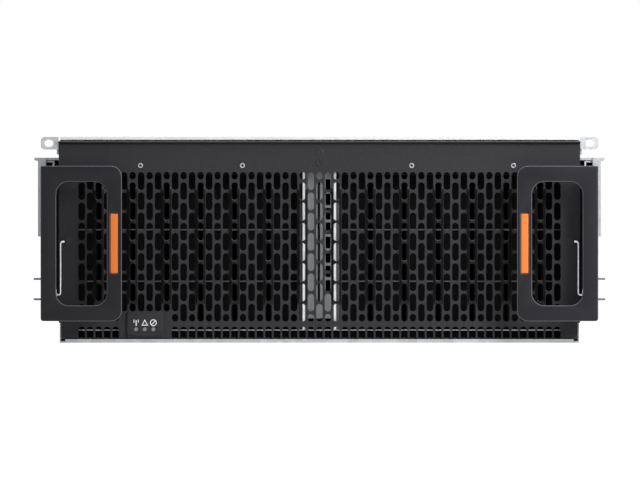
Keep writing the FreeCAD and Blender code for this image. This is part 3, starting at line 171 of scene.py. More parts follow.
def brushed(name, color, roughness, stretch=(1, 40, 1)):
    """Metal with fine lines, set close along the axis that has the largest scale."""
    finish = Finish(name, roughness, metallic=0.9)
    lines = finish.noise(120, 4.0, stretch)
    finish.color(lines, scaled(color, 0.88), scaled(color, 1.08))
    finish.rough(lines, roughness - 0.06, roughness + 0.08)
    finish.bump(lines, 0.08, METAL_RELIEF)
    return finish


def circuit_board(name):
    """Solder mask over a faint pattern of copper areas."""
    finish = Finish(name, 0.45)
    finish.color(finish.crystals(260, BOARD_CELLS), (0.008, 0.035, 0.016),
                 (0.014, 0.07, 0.03), 0.4, 0.6)
    finish.rough(finish.noise(300), 0.35, 0.5)
    finish.bump(finish.crystals(260, BOARD_CELLS), 0.1, METAL_RELIEF)
    return finish


def glowing(name, color):
    """A light pipe, unlit and milky."""
    finish = Finish(name, 0.3)
    finish.color(finish.noise(800), scaled(color, 0.9), color)
    finish.shader.inputs["Subsurface Weight"].default_value = 0.3
    finish.shader.inputs["Subsurface Radius"].default_value = (MM, MM, MM)
    return finish


FINISHES = {
    "black_sheet": coated("black_powder_coat", (0.020, 0.020, 0.023), 0.5),
    "black_handle": coated("black_handle_coat", None, 0.42, 1100, relief=0.1),
    "zinc_sheet": galvanised("zinc_sheet", (0.34, 0.35, 0.365), 0.42),
    "zinc_bright": galvanised("zinc_bright", (0.56, 0.57, 0.59), 0.32, 400),
    "rail_steel": brushed("rail_steel", (0.34, 0.35, 0.37), 0.5),
    "orange_plastic": coated("orange_plastic", (0.62, 0.165, 0.035), 0.4, 1300, 0.04, 0.06),
    "black_plastic": coated("black_plastic", (0.022, 0.022, 0.024), 0.38, 1500, 0.1, 0.08),
    "grey_plastic": coated("grey_plastic", (0.035, 0.035, 0.037), 0.45, 1500, 0.08, 0.08),
    "light_pipe": glowing("light_pipe", (0.19, 0.19, 0.19)),
    "board_green": circuit_board("circuit_board"),
    # The drives are painted near black: painted shade of the interior behind the grille.
    "drive_metal": coated("drive_casting_painted_shade", (0.004, 0.004, 0.0045), 0.6, 700, 0.3,
                          sheen=DULL_SHEEN),
    "steel_pin": brushed("steel_pin", (0.66, 0.66, 0.67), 0.25, (40, 1, 1)),
    "fan_plastic": coated("fan_plastic", (0.018, 0.018, 0.02), 0.36, 1500, 0.1, 0.06),
    "psu_case": galvanised("psu_case", (0.55, 0.56, 0.57), 0.38, 220),
}


def facing(finish):
    """How squarely the surface faces forward or back: one on flats, less on rounded edges."""
    shape = finish.add("ShaderNodeNewGeometry")
    parts = finish.add("ShaderNodeSeparateXYZ")
    finish.join(shape.outputs["Normal"], parts.inputs[0])
    square = finish.add("ShaderNodeMath", operation="ABSOLUTE")
    finish.join(parts.outputs["Y"], square.inputs[0])
    return square.outputs[0]


def painted_edge_highlight(finish, flat, edge):
    """Painted highlight: coat painted lighter on the rounded edges of a front plate."""
    finish.paint(finish.ramp(facing(finish),
                             [(0.0, flat), (0.3, edge), (0.9, edge), (0.97, flat)]))
    return finish


def blend(finish, share, first, second):
    """Colour that goes from the first to the second as the share goes from none to all."""
    mix = finish.add("ShaderNodeMix", data_type="RGBA")
    finish.join(share, mix.inputs[0])
    for socket, color in ((mix.inputs[6], first), (mix.inputs[7], second)):
        if isinstance(color, tuple):
            socket.default_value = (*color, 1.0)
        else:
            finish.join(color, socket)
    return mix.outputs[2]


def painted_rib_shade_and_highlight(finish, start, reach, dark, light):
    """Painted shade on what stands out of the face, and a painted highlight where that slopes
    upward.
    """
    shape = finish.add("ShaderNodeNewGeometry")
    shares = []
    for vector, axis, none, full in ((finish.place, "Y", start, start - reach),
                                     (shape.outputs["Normal"], "Z", 0.3, 0.6)):
        parts = finish.add("ShaderNodeSeparateXYZ")
        finish.join(vector, parts.inputs[0])
        share = finish.add("ShaderNodeMapRange", From_Min=none, From_Max=full)
        finish.join(parts.outputs[axis], share.inputs["Value"])
        shares.append(share.outputs["Result"])
    proud, upward = shares
    highlight_share = finish.add("ShaderNodeMath", operation="MULTIPLY")
    finish.join(proud, highlight_share.inputs[0])
    finish.join(upward, highlight_share.inputs[1])
    body = blend(finish, proud, finish.coat(), dark)
    finish.paint(blend(finish, highlight_share.outputs[0], body, light))
    return finish


def two_tone(finish, height, lower, upper):
    """One colour up to a height and another above it."""
    parts = finish.add("ShaderNodeSeparateXYZ")
    finish.join(finish.place, parts.inputs[0])
    above = finish.add("ShaderNodeMath", operation="GREATER_THAN")
    finish.join(parts.outputs["Z"], above.inputs[0])
    above.inputs[1].default_value = height
    finish.paint(finish.ramp(above.outputs[0], [(0.0, lower), (1.0, upper)]))
    return finish


# The handle's rounded edges are painted far lighter than its flats: a painted highlight.
painted_edge_highlight(FINISHES["black_handle"], (0.010, 0.010, 0.0125), (0.10, 0.10, 0.108))
SILL_EDGE = 10.45 * MM
CAGE_SHADE = 120 * MM
SCREW_RING = 0.3 * MM
PROUD_BLEND = 0.8 * MM
# The sill is painted near black below SILL_EDGE as painted shade, and pale above it as a painted
# highlight along its top edge.
SILL_FINISH = two_tone(coated("sill_shade_and_highlight", None, 0.5, sheen=DULL_SHEEN), SILL_EDGE,
                       (0.004, 0.004, 0.004), (0.55, 0.56, 0.57))
# The drive cages are painted dark grey up to CAGE_SHADE and near black above it: painted shade of
# the space behind the grille and under the lid.
CAGE_FINISH = two_tone(coated("cage_painted_shade", None, 0.5), CAGE_SHADE,
                       (0.09, 0.09, 0.095), (0.004, 0.004, 0.004))
DUCT_FINISH = brushed("duct_steel", (0.20, 0.205, 0.21), 0.5, (40, 1, 1))
# The centre duct is painted far lighter than the other zinc, so that its front edges show as
# bright lines: a painted highlight.
DUCT_HIGHLIGHT_FINISH = galvanised("duct_edge_painted_highlight", (0.80, 0.81, 0.82), 0.35)
LID_FINISH = galvanised("lid_sheet", (0.33, 0.34, 0.35), 0.72, 240, 0.35)
# The front lid's forward-facing edge is painted much lighter than its top: a painted highlight.
FRONT_LID_HIGHLIGHT_FINISH = galvanised("front_lid_sheet_painted_highlight", (0.33, 0.34, 0.35), 0.72, 240, 0.35)
FRONT_LID_HIGHLIGHT_FINISH.paint(blend(FRONT_LID_HIGHLIGHT_FINISH, facing(FRONT_LID_HIGHLIGHT_FINISH),
                             FRONT_LID_HIGHLIGHT_FINISH.coat(), (0.60, 0.61, 0.62)))
SCREW_FINISH = brushed("screw_steel", (0.36, 0.36, 0.37), 0.35)
# The bezel's ribs and top lip are painted near black as painted shade, and lighter on their upward
# slopes as a painted highlight.
BEZEL_FINISH = painted_rib_shade_and_highlight(coated("bezel_coat", (0.021, 0.021, 0.024), 0.5),
                           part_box("bezel_screws")[1].y - SCREW_RING, PROUD_BLEND,
                           (0.004, 0.004, 0.005), (0.09, 0.09, 0.095))
HOOK_FINISH = brushed("hook_steel", (0.16, 0.16, 0.165), 0.4)
TAB_FINISH = galvanised("tab_sheet", (0.35, 0.36, 0.38), 0.55, 400)


def material_for(slot):
    return FINISHES[slot].material


SLOT_OF = {row["node"]: row["material_slot"] for row in frame["record"]["subparts"]}
for node_name, node_object in frame["nodes"].items():
    node_object.data.materials.clear()
    node_object.data.materials.append(material_for(SLOT_OF[node_name]))
NODE_FINISHES = {
    "front_sill": SILL_FINISH, "drive_cages": CAGE_FINISH,
    "duct_panel": DUCT_FINISH, "centre_duct": DUCT_HIGHLIGHT_FINISH,
    "front_lid": FRONT_LID_HIGHLIGHT_FINISH, "rear_lid": LID_FINISH, "rear_top_panel": LID_FINISH,
    "rack_hook_left": HOOK_FINISH, "rack_hook_right": HOOK_FINISH, "rack_tabs": TAB_FINISH,
}
for node_name, finish in NODE_FINISHES.items():
    frame["nodes"][node_name].data.materials[0] = finish.material

# ---------------------------------------------------------------- making pieces


def piece(name, mesh, body, slot, material=None, smooth_angle=32):
    """Links a finished mesh as one piece that rides on a body."""
    item = bpy.data.objects.new(name, mesh)
    bpy.context.scene.collection.objects.link(item)
    mesh.materials.clear()
    mesh.materials.append(material or material_for(slot))
    mesh.shade_smooth()
    mesh.set_sharp_from_angle(angle=math.radians(smooth_angle))
    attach(item, body)
    return item


def bm_mesh(name, bm):
    """A mesh from a finished bmesh, with its faces turned outward."""
    bmesh.ops.recalc_face_normals(bm, faces=bm.faces)
    mesh = bpy.data.meshes.new(name)
    bm.to_mesh(mesh)
    bm.free()
    return mesh


def joined(name, meshes):
    """One mesh from several."""
    bm = bmesh.new()
    for mesh in meshes:
        bm.from_mesh(mesh)
        bpy.data.meshes.remove(mesh)
    mesh = bpy.data.meshes.new(name)
    bm.to_mesh(mesh)
    bm.free()
    return mesh


def mirrored(mesh):
    """The same mesh on the other side of the centre plane."""
    copy = mesh.copy()
    copy.transform(Matrix.Scale(-1, 4, (1, 0, 0)))
    copy.flip_normals()
    return copy


def rounded_rectangle(x0, x1, z0, z1, radii, steps=7):
    """Outline with corner radii given in the order low left, low right, top right, top left."""
    corners = ((x0, z0, 1, 1, 180), (x1, z0, -1, 1, 270), (x1, z1, -1, -1, 0), (x0, z1, 1, -1, 90))
    points = []
    for (x, z, to_x, to_z, start), radius in zip(corners, radii):
        for step in range(steps + 1):
            turn = math.radians(start + 90 * step / steps)
            points.append((x + to_x * radius + radius * math.cos(turn),
                           z + to_z * radius + radius * math.sin(turn)))
    return points


def around(x, z, radius, turns):
    """Points on a circle at the given angles, in degrees."""
    return [(x + radius * math.cos(math.radians(turn)), z + radius * math.sin(math.radians(turn)))
            for turn in turns]


def circle(x, z, radius, count=28):
    return around(x, z, radius, [360 * step / count for step in range(count)])


def add_line(curve, points):
    line = curve.splines.new("POLY")
    line.points.add(len(points) - 1)
    for point, place in zip(line.points, points):
        point.co = (*place, 1)
    return line


def curve_mesh(name, curve):
    """The mesh of a finished curve, which isn't kept itself."""
    holder = bpy.data.objects.new(name, curve)
    mesh = bpy.data.meshes.new_from_object(holder)
    bpy.data.objects.remove(holder)
    bpy.data.curves.remove(curve)
    return mesh


def bridge(bm, rings):
    """Faces from each closed ring of vertices to the next, where a ring may be one point."""
    for first, second in zip(rings, rings[1:]):
        count = max(len(first), len(second))
        for step in range(count):
            after = (step + 1) % count
            corners = [first[step % len(first)], first[after % len(first)],
                       second[after % len(second)], second[step % len(second)]]
            bm.faces.new(list(dict.fromkeys(corners)))


MERGE = 0.00001
SLIVER = 0.000005


def plate(name, outlines, front, back, bevel=0.0, bevel_steps=2):
    """A flat plate facing -Y with holes: the first outline is the rim, and all edges are rounded
    when a bevel is given.
    """
    curve = bpy.data.curves.new(name, "CURVE")
    curve.dimensions = "2D"
    curve.fill_mode = "BOTH"
    curve.extrude = (back - front) / 2 - bevel
    curve.bevel_depth = bevel
    curve.bevel_resolution = bevel_steps
    curve.offset = -bevel
    for outline in outlines:
        add_line(curve, [(x, z, 0) for x, z in outline]).use_cyclic_u = True
    mesh = curve_mesh(name, curve)
    mesh.transform(Matrix.Rotation(math.radians(90), 4, "X"))
    mesh.transform(Matrix.Translation((0, (front + back) / 2, 0)))
    bm = bmesh.new()
    bm.from_mesh(mesh)
    bmesh.ops.remove_doubles(bm, verts=bm.verts, dist=MERGE)
    bmesh.ops.dissolve_degenerate(bm, edges=bm.edges, dist=SLIVER)
    bpy.data.meshes.remove(mesh)
    return bm_mesh(name, bm)


def lathe(name, profile, centre, steps=28):
    """A round piece about Y: the profile is (radius, place along Y) from tip to root."""
    bm = bmesh.new()
    rings = []
    for radius, along in profile:
        if radius == 0:
            rings.append([bm.verts.new((0, along, 0))])
            continue
        rings.append([bm.verts.new((radius * math.cos(2 * math.pi * step / steps), along,
                                    radius * math.sin(2 * math.pi * step / steps)))
                      for step in range(steps)])
    bridge(bm, rings)
    mesh = bm_mesh(name, bm)
    mesh.transform(Matrix.Translation(centre))
    return mesh


def tube(name, points, radius, corner, steps=6):
    """A bent round wire along straight runs, with an arc at each corner."""
    path = [Vector(points[0])]
    for before, here, after in zip(points, points[1:], points[2:]):
        here = Vector(here)
        back = (Vector(before) - here).normalized()
        ahead = (Vector(after) - here).normalized()
        start = here + back * corner
        end = here + ahead * corner
        for step in range(steps + 1):
            share = step / steps
            path.append(start * (1 - share) ** 2 + here * 2 * share * (1 - share)
                        + end * share ** 2)
    path.append(Vector(points[-1]))
    curve = bpy.data.curves.new(name, "CURVE")
    curve.dimensions = "3D"
    curve.bevel_depth = radius
    curve.bevel_resolution = 4
    curve.use_fill_caps = True
    add_line(curve, path)
    return curve_mesh(name, curve)


def bevelled_box(name, low, high, bevel):
    """A box between two corners, with rounded edges."""
    bm = bmesh.new()
    bmesh.ops.create_cube(bm, size=1.0)
    for vertex in bm.verts:
        for axis in range(3):
            share = vertex.co[axis] + 0.5
            vertex.co[axis] = low[axis] * (1 - share) + high[axis] * share
    bmesh.ops.bevel(bm, geom=bm.edges, offset=bevel, segments=2, affect="EDGES", profile=0.6)
    return bm_mesh(name, bm)


# ---------------------------------------------------------------- bezel

RIB_RISE = 3.0 * MM
BEZEL_LOW, BEZEL_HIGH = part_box("front_bezel")
PANEL_LOW, PANEL_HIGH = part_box("indicator_panel")
FACE_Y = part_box("bezel_screws")[1].y
SIDE_COLUMNS = 28
PITCH = 7.3 * MM
SLOT_HALF = 2.75 * MM
SLOT_TALL = 15.15 * MM
ROW = 17.4 * MM
WEB = (ROW - SLOT_TALL) / 2
FULL_ROWS = 7
GRILLE_LOW = 18.3 * MM
CELL_TOP = 146.6 * MM + WEB
CELL_LOW = CELL_TOP - (FULL_ROWS + 0.5) * ROW
HALF_SLOT_LIFT = 1.4 * MM
HALF_SLOT_DROP = 0.9 * MM
SHEET = 1.2 * MM
EDGE_ROUND = 0.3 * MM
RIB_LOW = 32 * MM
RIB_TOP = 135 * MM
RIB_END = 4 * MM
RIB_SPACING = 4
FOOT_TALL = 8 * MM
FOOT_LIFT = 1.2 * MM
FOOT_TOP = 14 * MM
BEZEL_CLEAR = 2.5 * MM
BEND = 1.6 * MM
FOLD_BACK = 9 * MM
LIP_REACH = 3.6 * MM
LIP_THICK = 2.2 * MM
LIP_FILLET = 0.6 * MM
HALF_WIDE = 224 * MM
HALF_LOW = 222 * MM
SIDE_BEND = (0.05 * MM, 0.1 * MM)
NEAR = 0.01 * MM
SAME = MM / 200
STRAIGHT = 0.5


def bezel_profile():
    """The sheet's section as (y from the face, z): the lip above the flat, and the foot below.

    Between the two come the heights at which the flat ends.
    """
    top = BEZEL_HIGH.z
    low = BEZEL_LOW.z + BEZEL_CLEAR
    lip_low = top - LIP_THICK
    lip_round = LIP_THICK / 2
    section = [(FOLD_BACK, top), (-LIP_REACH + lip_round, top)]
    for step in range(1, 7):
        turn = math.radians(90 + 180 * step / 7)
        section.append((-LIP_REACH + lip_round * (1 + math.cos(turn)),
                        top - lip_round * (1 - math.sin(turn))))
    section += [(-LIP_REACH + lip_round, lip_low), (-LIP_FILLET, lip_low),
                (0, lip_low - LIP_FILLET)]
    flat_top = section[-1][1]
    bend_start = low + BEND
    lower = [(0, bend_start)]
    for step in range(1, 5):
        turn = math.radians(90 * step / 4)
        lower.append((BEND * (1 - math.cos(turn)), bend_start - BEND * math.sin(turn)))
    lower.append((FOLD_BACK, low))
    return section, flat_top, bend_start, lower


UPPER, FLAT_TOP, FLAT_LOW, LOWER = bezel_profile()


def below(path):
    """Place on the folded foot of the sheet, at a path length under the flat face."""
    left = FLAT_LOW - path
    for (y0, z0), (y1, z1) in zip(LOWER, LOWER[1:]):
        run = math.hypot(y1 - y0, z1 - z0)
        if left <= run or (y1, z1) == LOWER[-1]:
            share = min(left / run, 1.0)
            return y0 + (y1 - y0) * share, z0 + (z1 - z0) * share
        left -= run
    return LOWER[-1]


def rib_rise(x, z):
    """Height of the raised ribs, which stand on every fourth column."""
    column = x / PITCH
    first = RIB_SPACING / 2
    nearest = round((column - first) / RIB_SPACING) * RIB_SPACING + first
    if abs(nearest) > SIDE_COLUMNS:
        return 0.0
    aside = abs(column - nearest) * PITCH
    side = (PITCH - SLOT_HALF - EDGE_ROUND / 2 - aside) / (PITCH - 2 * SLOT_HALF - EDGE_ROUND)
    ends = min((z - RIB_LOW) / RIB_END, (RIB_TOP - z) / RIB_END)
    return RIB_RISE * max(0.0, min(1.0, side, ends))


def slot_outline(x, low, high, count, grow):
    """Stadium outline with as many points as a cell's rim: right side up, then round.

    The middle points of a side, up to the share STRAIGHT, lie on its straight run.
    """
    radius = SLOT_HALF + grow
    low_centre = low + SLOT_HALF
    high_centre = max(high - SLOT_HALF, low_centre)
    middle = (low_centre + high_centre) / 2
    reach = (high_centre - low_centre) / 2
    right = []
    for index in range(count + 1):
        share = 2 * index / count - 1
        turn = 45 * max(0.0, abs(share) - STRAIGHT) / (1 - STRAIGHT)
        level = middle + reach * max(-1.0, min(1.0, share / STRAIGHT))
        right += around(x, level, radius, [math.copysign(turn, share)])
    top = around(x, high_centre, radius, (67.5, 90, 112.5))
    left = [(2 * x - px, pz) for px, pz in reversed(right)]
    bottom = around(x, low_centre, radius, (247.5, 270, 292.5))
    return right + top + left + bottom


def cell_rim(x, sides):
    """Rim of one slot's cell, through the given heights up each side."""
    half = PITCH / 2
    across = (half / 2, 0, -half / 2)
    right = [(x + half, z) for z in sides]
    top = [(x + step, sides[-1]) for step in across]
    left = [(x - half, z) for z in reversed(sides)]
    bottom = [(x - step, sides[0]) for step in across]
    return right + top + left + bottom


class Skin:
    """The sheet's front surface, drawn flat as (x, path) and folded as it is built."""

    def __init__(self):
        self.bm = bmesh.new()
        self.known = {}

    def point(self, x, path, sink=0.0):
        """The vertex at a place, made once and shared by the faces that meet there."""
        key = tuple(round(part / SAME) for part in (x, path, sink))
        if key not in self.known:
            if path >= FLAT_LOW:
                y, z = -rib_rise(x, path), path
            else:
                y, z = below(path)
            self.known[key] = self.bm.verts.new((x, FACE_Y + y + sink, z))
        return self.known[key]

    def face(self, corners):
        corners = list(dict.fromkeys(corners))
        if len(corners) > 2:
            self.bm.faces.new(corners)

    def ring(self, outer, inner, outer_sink=0.0, inner_sink=0.0):
        count = len(outer)
        for index in range(count):
            after = (index + 1) % count
            self.face([self.point(*outer[index], outer_sink),
                       self.point(*outer[after], outer_sink),
                       self.point(*inner[after], inner_sink),
                       self.point(*inner[index], inner_sink)])

    def slotted(self, x, sides, low, high):
        rim = cell_rim(x, sides)
        edge = slot_outline(x, low, high, len(sides) - 1, EDGE_ROUND)
        hole = slot_outline(x, low, high, len(sides) - 1, 0.0)
        self.ring(rim, edge)
        self.ring(edge, hole, 0.0, EDGE_ROUND)

    def plain(self, x_places, levels):
        for x0, x1 in zip(x_places, x_places[1:]):
            for z0, z1 in zip(levels, levels[1:]):
                self.face([self.point(x0, z0), self.point(x1, z0),
                           self.point(x1, z1), self.point(x0, z1)])


def steps_between(low, high, count):
    return [low + (high - low) * step / count for step in range(count + 1)]


def quarter_places(x):
    return [x + PITCH / 4 * step for step in range(-2, 3)]


def make_bezel():
    """The slotted sheet, column by column, with its plain margins and folded edges."""
    skin = Skin()
    foot_low = FLAT_LOW - FOOT_TALL
    foot_levels = steps_between(foot_low, CELL_LOW, 8)
    for column in range(-SIDE_COLUMNS, SIDE_COLUMNS + 1):
        x = column * PITCH
        over_panel = PANEL_LOW.x < x + SLOT_HALF and x - SLOT_HALF < PANEL_HIGH.x
        floor = PANEL_HIGH.z if over_panel else GRILLE_LOW
        top = CELL_TOP
        even = column % 2 == 0
        if even:
            sides = steps_between(CELL_TOP - ROW / 2, CELL_TOP, 4)
            skin.slotted(x, sides, sides[0] + HALF_SLOT_LIFT, CELL_TOP - HALF_SLOT_DROP)
            top = sides[0]
        for _ in range(FULL_ROWS):
            sides = steps_between(top - ROW, top, 8)
            skin.slotted(x, sides, max(top - ROW + WEB, floor), top - WEB)
            top -= ROW
        if not even:
            sides = steps_between(CELL_LOW, top, 4)
            if over_panel:
                skin.plain(quarter_places(x), sides)
            else:
                skin.slotted(x, sides, GRILLE_LOW, top - WEB)
        if over_panel:
            skin.plain(quarter_places(x), foot_levels)
        else:
            skin.slotted(x, foot_levels, foot_low + FOOT_LIFT, FOOT_TOP)
        skin.plain(quarter_places(x), steps_between(CELL_TOP, FLAT_TOP, 4))
    edge_x = (SIDE_COLUMNS + 0.5) * PITCH
    middle_x = (edge_x + HALF_WIDE) / 2
    upper_levels = (steps_between(CELL_LOW, CELL_TOP, 30)
                    + steps_between(CELL_TOP, FLAT_TOP, 4)[1:])
    for sign in (-1, 1):
        skin.plain([edge_x * sign, middle_x * sign, HALF_WIDE * sign], upper_levels)
        skin.plain([edge_x * sign, middle_x * sign, HALF_LOW * sign], foot_levels)
    fold_edges(skin.bm)
    return thickened(bm_mesh("bezel_skin", skin.bm), "bezel_sheet", SHEET)


def fold_edges(bm):
    """Folds the top edge over its lip, and the two side edges back."""
    top = [edge for edge in bm.edges if edge.is_boundary
           and all(abs(v.co.z - FLAT_TOP) < NEAR for v in edge.verts)]
    for before, here in zip(UPPER[::-1], UPPER[::-1][1:]):
        step = Vector((0, here[0] - before[0], here[1] - before[1]))
        top = extruded(bm, top, step)
    for sign in (-1, 1):
        side = [edge for edge in bm.edges if edge.is_boundary
                and all(abs(v.co.x - sign * HALF_WIDE) < NEAR for v in edge.verts)
                and all(CELL_LOW - NEAR < v.co.z <= FLAT_TOP + NEAR for v in edge.verts)
                and all(v.co.y < FACE_Y + NEAR for v in edge.verts)]
        for out, back in (SIDE_BEND, (0, FOLD_BACK - SHEET)):
            side = extruded(bm, side, Vector((out * sign, back, 0)))


def extruded(bm, edges, step):
    """Draws edges out by one step and gives back the new outer edges."""
    made = bmesh.ops.extrude_edge_only(bm, edges=edges)["geom"]
    for item in made:
        if isinstance(item, bmesh.types.BMVert):
            item.co += step
    return [item for item in made if isinstance(item, bmesh.types.BMEdge) and item.is_boundary
            and all(v in made for v in item.verts)]


def thickened(mesh, name, thickness):
    """Gives a skin its sheet thickness, behind it."""
    holder = bpy.data.objects.new(name, mesh)
    bpy.context.scene.collection.objects.link(holder)
    solid = holder.modifiers.new("thickness", "SOLIDIFY")
    solid.thickness = thickness
    solid.offset = -1
    bpy.context.view_layer.update()
    made = bpy.data.meshes.new_from_object(
        holder.evaluated_get(bpy.context.evaluated_depsgraph_get()))
    bpy.data.objects.remove(holder)
    made.name = name
    return made


bezel = piece("bezel_sheet", make_bezel(), "chassis", "black_sheet", BEZEL_FINISH.material, 28)
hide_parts("front_bezel")

# ---------------------------------------------------------------- handles

HANDLE_LOW, HANDLE_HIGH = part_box("handle_right")
HANDLE_PLATE = 4.0 * MM
HANDLE_BAR = 12.8 * MM
HANDLE_POST = 13.4 * MM
HANDLE_RAIL = 13.5 * MM
BUTTON_LOW, BUTTON_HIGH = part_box("release_button_right")
BUTTON_HALF = 3.1 * MM
BUTTON_TALL = 25.5 * MM
BUTTON_X = HANDLE_LOW.x + HANDLE_BAR / 2 + 0.2 * MM
BUTTON_Z = (BUTTON_LOW.z + BUTTON_HIGH.z) / 2
CORNER_LARGE = 9.2 * MM
CORNER_LOW = 2.5 * MM
CORNER_TOP = 1.0 * MM
OPENING_ROUND = 10.7 * MM
WINDOW_ROUND = 1.2 * MM
HANDLE_EDGE = 0.7 * MM
WALL_THICK = 2 * MM
WALL_START = 3 * MM
WALL_EDGE = 0.4 * MM
CAP_ROUND = 1.0 * MM
CAP_EDGE = 0.45 * MM
FLANGE_EDGE = 0.2 * MM
FINE_EDGE = 0.15 * MM
FLANGE_THICK = 1.5 * MM
FIT = 0.3 * MM
LINK_X = 222.3 * MM
LINK_RADIUS = 0.9 * MM
LINK_BEND = 2.2 * MM
GROMMET = (213.6 * MM, 219.4 * MM, 84.0 * MM, 91.4 * MM)
GROMMET_ROUND = 1.4 * MM
GROMMET_RISE = 0.5 * MM
SIDES = {"right": lambda mesh: mesh, "left": mirrored}


def make_handle():
    """Front plate with its finger opening and button window, and the outer side wall."""
    low, high = HANDLE_LOW, HANDLE_HIGH
    rim = rounded_rectangle(low.x, high.x, low.z, high.z,
                            (CORNER_LARGE, CORNER_LOW, CORNER_TOP, CORNER_LARGE))
    opening = rounded_rectangle(low.x + HANDLE_BAR, high.x - HANDLE_POST,
                                low.z + HANDLE_RAIL, high.z - HANDLE_RAIL,
                                (OPENING_ROUND,) * 4)
    window = rounded_rectangle(BUTTON_X - BUTTON_HALF - FIT, BUTTON_X + BUTTON_HALF + FIT,
                               BUTTON_Z - BUTTON_TALL - FIT, BUTTON_Z + BUTTON_TALL + FIT,
                               (WINDOW_ROUND,) * 4, 4)
    front = plate("handle_front", [rim, opening, window], low.y, low.y + HANDLE_PLATE,
                  HANDLE_EDGE)
    wall = bevelled_box("handle_wall",
                        (high.x - WALL_THICK, low.y + WALL_START, low.z + WALL_THICK),
                        (high.x, high.y, high.z - WALL_THICK / 2), WALL_EDGE)
    return joined("handle_shell", [front, wall])


def make_button():
    """Raised cap on the flange that holds it in its housing."""
    flange_start = BUTTON_HIGH.y - FLANGE_THICK
    cap = plate("button_cap", [rounded_rectangle(
        BUTTON_X - BUTTON_HALF, BUTTON_X + BUTTON_HALF, BUTTON_Z - BUTTON_TALL,
        BUTTON_Z + BUTTON_TALL, (CAP_ROUND,) * 4, 4)],
        BUTTON_LOW.y, flange_start, CAP_EDGE)
    flange = bevelled_box("button_flange", (BUTTON_LOW.x, flange_start, BUTTON_LOW.z),
                          BUTTON_HIGH, FLANGE_EDGE)
    return joined("release_button", [cap, flange])


def make_link():
    """The bright wire link that draws the rack hook in, with its bent eye at the top."""
    low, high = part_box("latch_link_right")
    y = low.y + LINK_RADIUS
    top = high.z - LINK_RADIUS
    foot = low.z + LINK_RADIUS
    root = high.x - LINK_RADIUS
    return tube("latch_link", [
        (low.x + LINK_RADIUS, y, top), (LINK_X, y, top), (LINK_X, y, foot),
        (root, y, foot), (root, high.y, foot)], LINK_RADIUS, LINK_BEND)


for side, flip in SIDES.items():
    shell = piece(f"handle_shell_{side}", flip(make_handle()), "chassis", "black_handle")
    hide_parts(f"handle_{side}")
    button = piece(f"release_cap_{side}", flip(make_button()), f"release_button_{side}",
                   "orange_plastic")
    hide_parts(f"release_button_{side}")
    link = piece(f"wire_link_{side}", flip(make_link()), f"rack_hook_{side}", "zinc_bright",
                 smooth_angle=60)
    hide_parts(f"latch_link_{side}")

for side, flip in SIDES.items():
    piece(f"link_grommet_{side}", flip(plate("grommet", [
        rounded_rectangle(*GROMMET, (GROMMET_ROUND,) * 4, 4)],
        FACE_Y - GROMMET_RISE, FACE_Y, FINE_EDGE)), "chassis", "black_plastic")

# ---------------------------------------------------------------- screws

SCREW_Z = 152.4 * MM
SCREW_PLACES = [x * MM for x in (-153.8, -66.2, 79.3, 166.8)]
SCREW_RADIUS = 2.15 * MM
SCREW_RISE = 0.75 * MM
SCREW_EDGE = 0.22 * MM
HEX_SHARE = 0.6
STUD_Z = 154.8 * MM
DIMPLE_Z = 163.8 * MM
# Turned profiles, in millimetres: (radius, place along Y from the bezel's face)
SOCKET_PROFILE = [(0, -0.2), (1.4, -0.2), (1.4, 0)]
STUD_PROFILE = [(0, -0.15), (1.2, -0.15), (1.5, -0.45), (3.0, -0.5), (3.4, -0.2), (3.4, 0)]
DIMPLE_PROFILE = [(0.9, 0.05), (0.9, -0.12), (1.6, -0.3), (3.0, -0.25), (3.6, 0)]


def screw_head(x, z):
    """A round ring with a six-sided hole, through which a dark disc shows as painted shade in the
    socket.
    """
    return plate("screw_ring",
                 [circle(x, z, SCREW_RADIUS), circle(x, z, SCREW_RADIUS * HEX_SHARE, 6)],
                 FACE_Y - SCREW_RISE, FACE_Y, SCREW_EDGE)


def turned_fitting(name, profile, x, z):
    return lathe(name, [(radius * MM, along * MM) for radius, along in profile], (x, FACE_Y, z))


screws = piece("bezel_screw_heads", joined("screw_heads", [
    screw_head(x, SCREW_Z) for x in SCREW_PLACES]), "chassis", "zinc_bright",
    SCREW_FINISH.material)
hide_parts("bezel_screws")
# Dark discs under the screws' six-sided holes: painted shade in the sockets.
piece("bezel_screw_socket_shade", joined("sockets", [
    turned_fitting("socket", SOCKET_PROFILE, x, SCREW_Z) for x in SCREW_PLACES]),
    "chassis", "black_plastic")
piece("bezel_stud", turned_fitting("stud", STUD_PROFILE, 0, STUD_Z), "chassis", "black_sheet")
piece("bezel_dimple", turned_fitting("dimple", DIMPLE_PROFILE, 0, DIMPLE_Z),
      "chassis", "black_sheet")

# ---------------------------------------------------------------- indicator panel

LIGHT_Z = 11.7 * MM
SIGN_Z = 17.3 * MM
SIGN_PITCH = 7.4 * MM
SIGN_X = (PANEL_LOW.x + PANEL_HIGH.x) / 2 - 0.4 * MM
SIGN_PLACES = [SIGN_X + SIGN_PITCH * step for step in (-1, 0, 1)]
SIGN_SINK = 0.06 * MM
LIGHT_RADIUS = 1.7 * MM
PANEL_FRONT = PANEL_LOW.y + 1.6 * MM
PANEL_FOOT_ROUND = 1.0 * MM
PANEL_TOP_ROUND = 2.0 * MM
LIP_INSET = 0.8 * MM
LIP_BOW = 0.9 * MM
LIP_LIFT = 0.8 * MM
LIP_SLOPE = 0.3 * MM
LIP_STEPS = 14


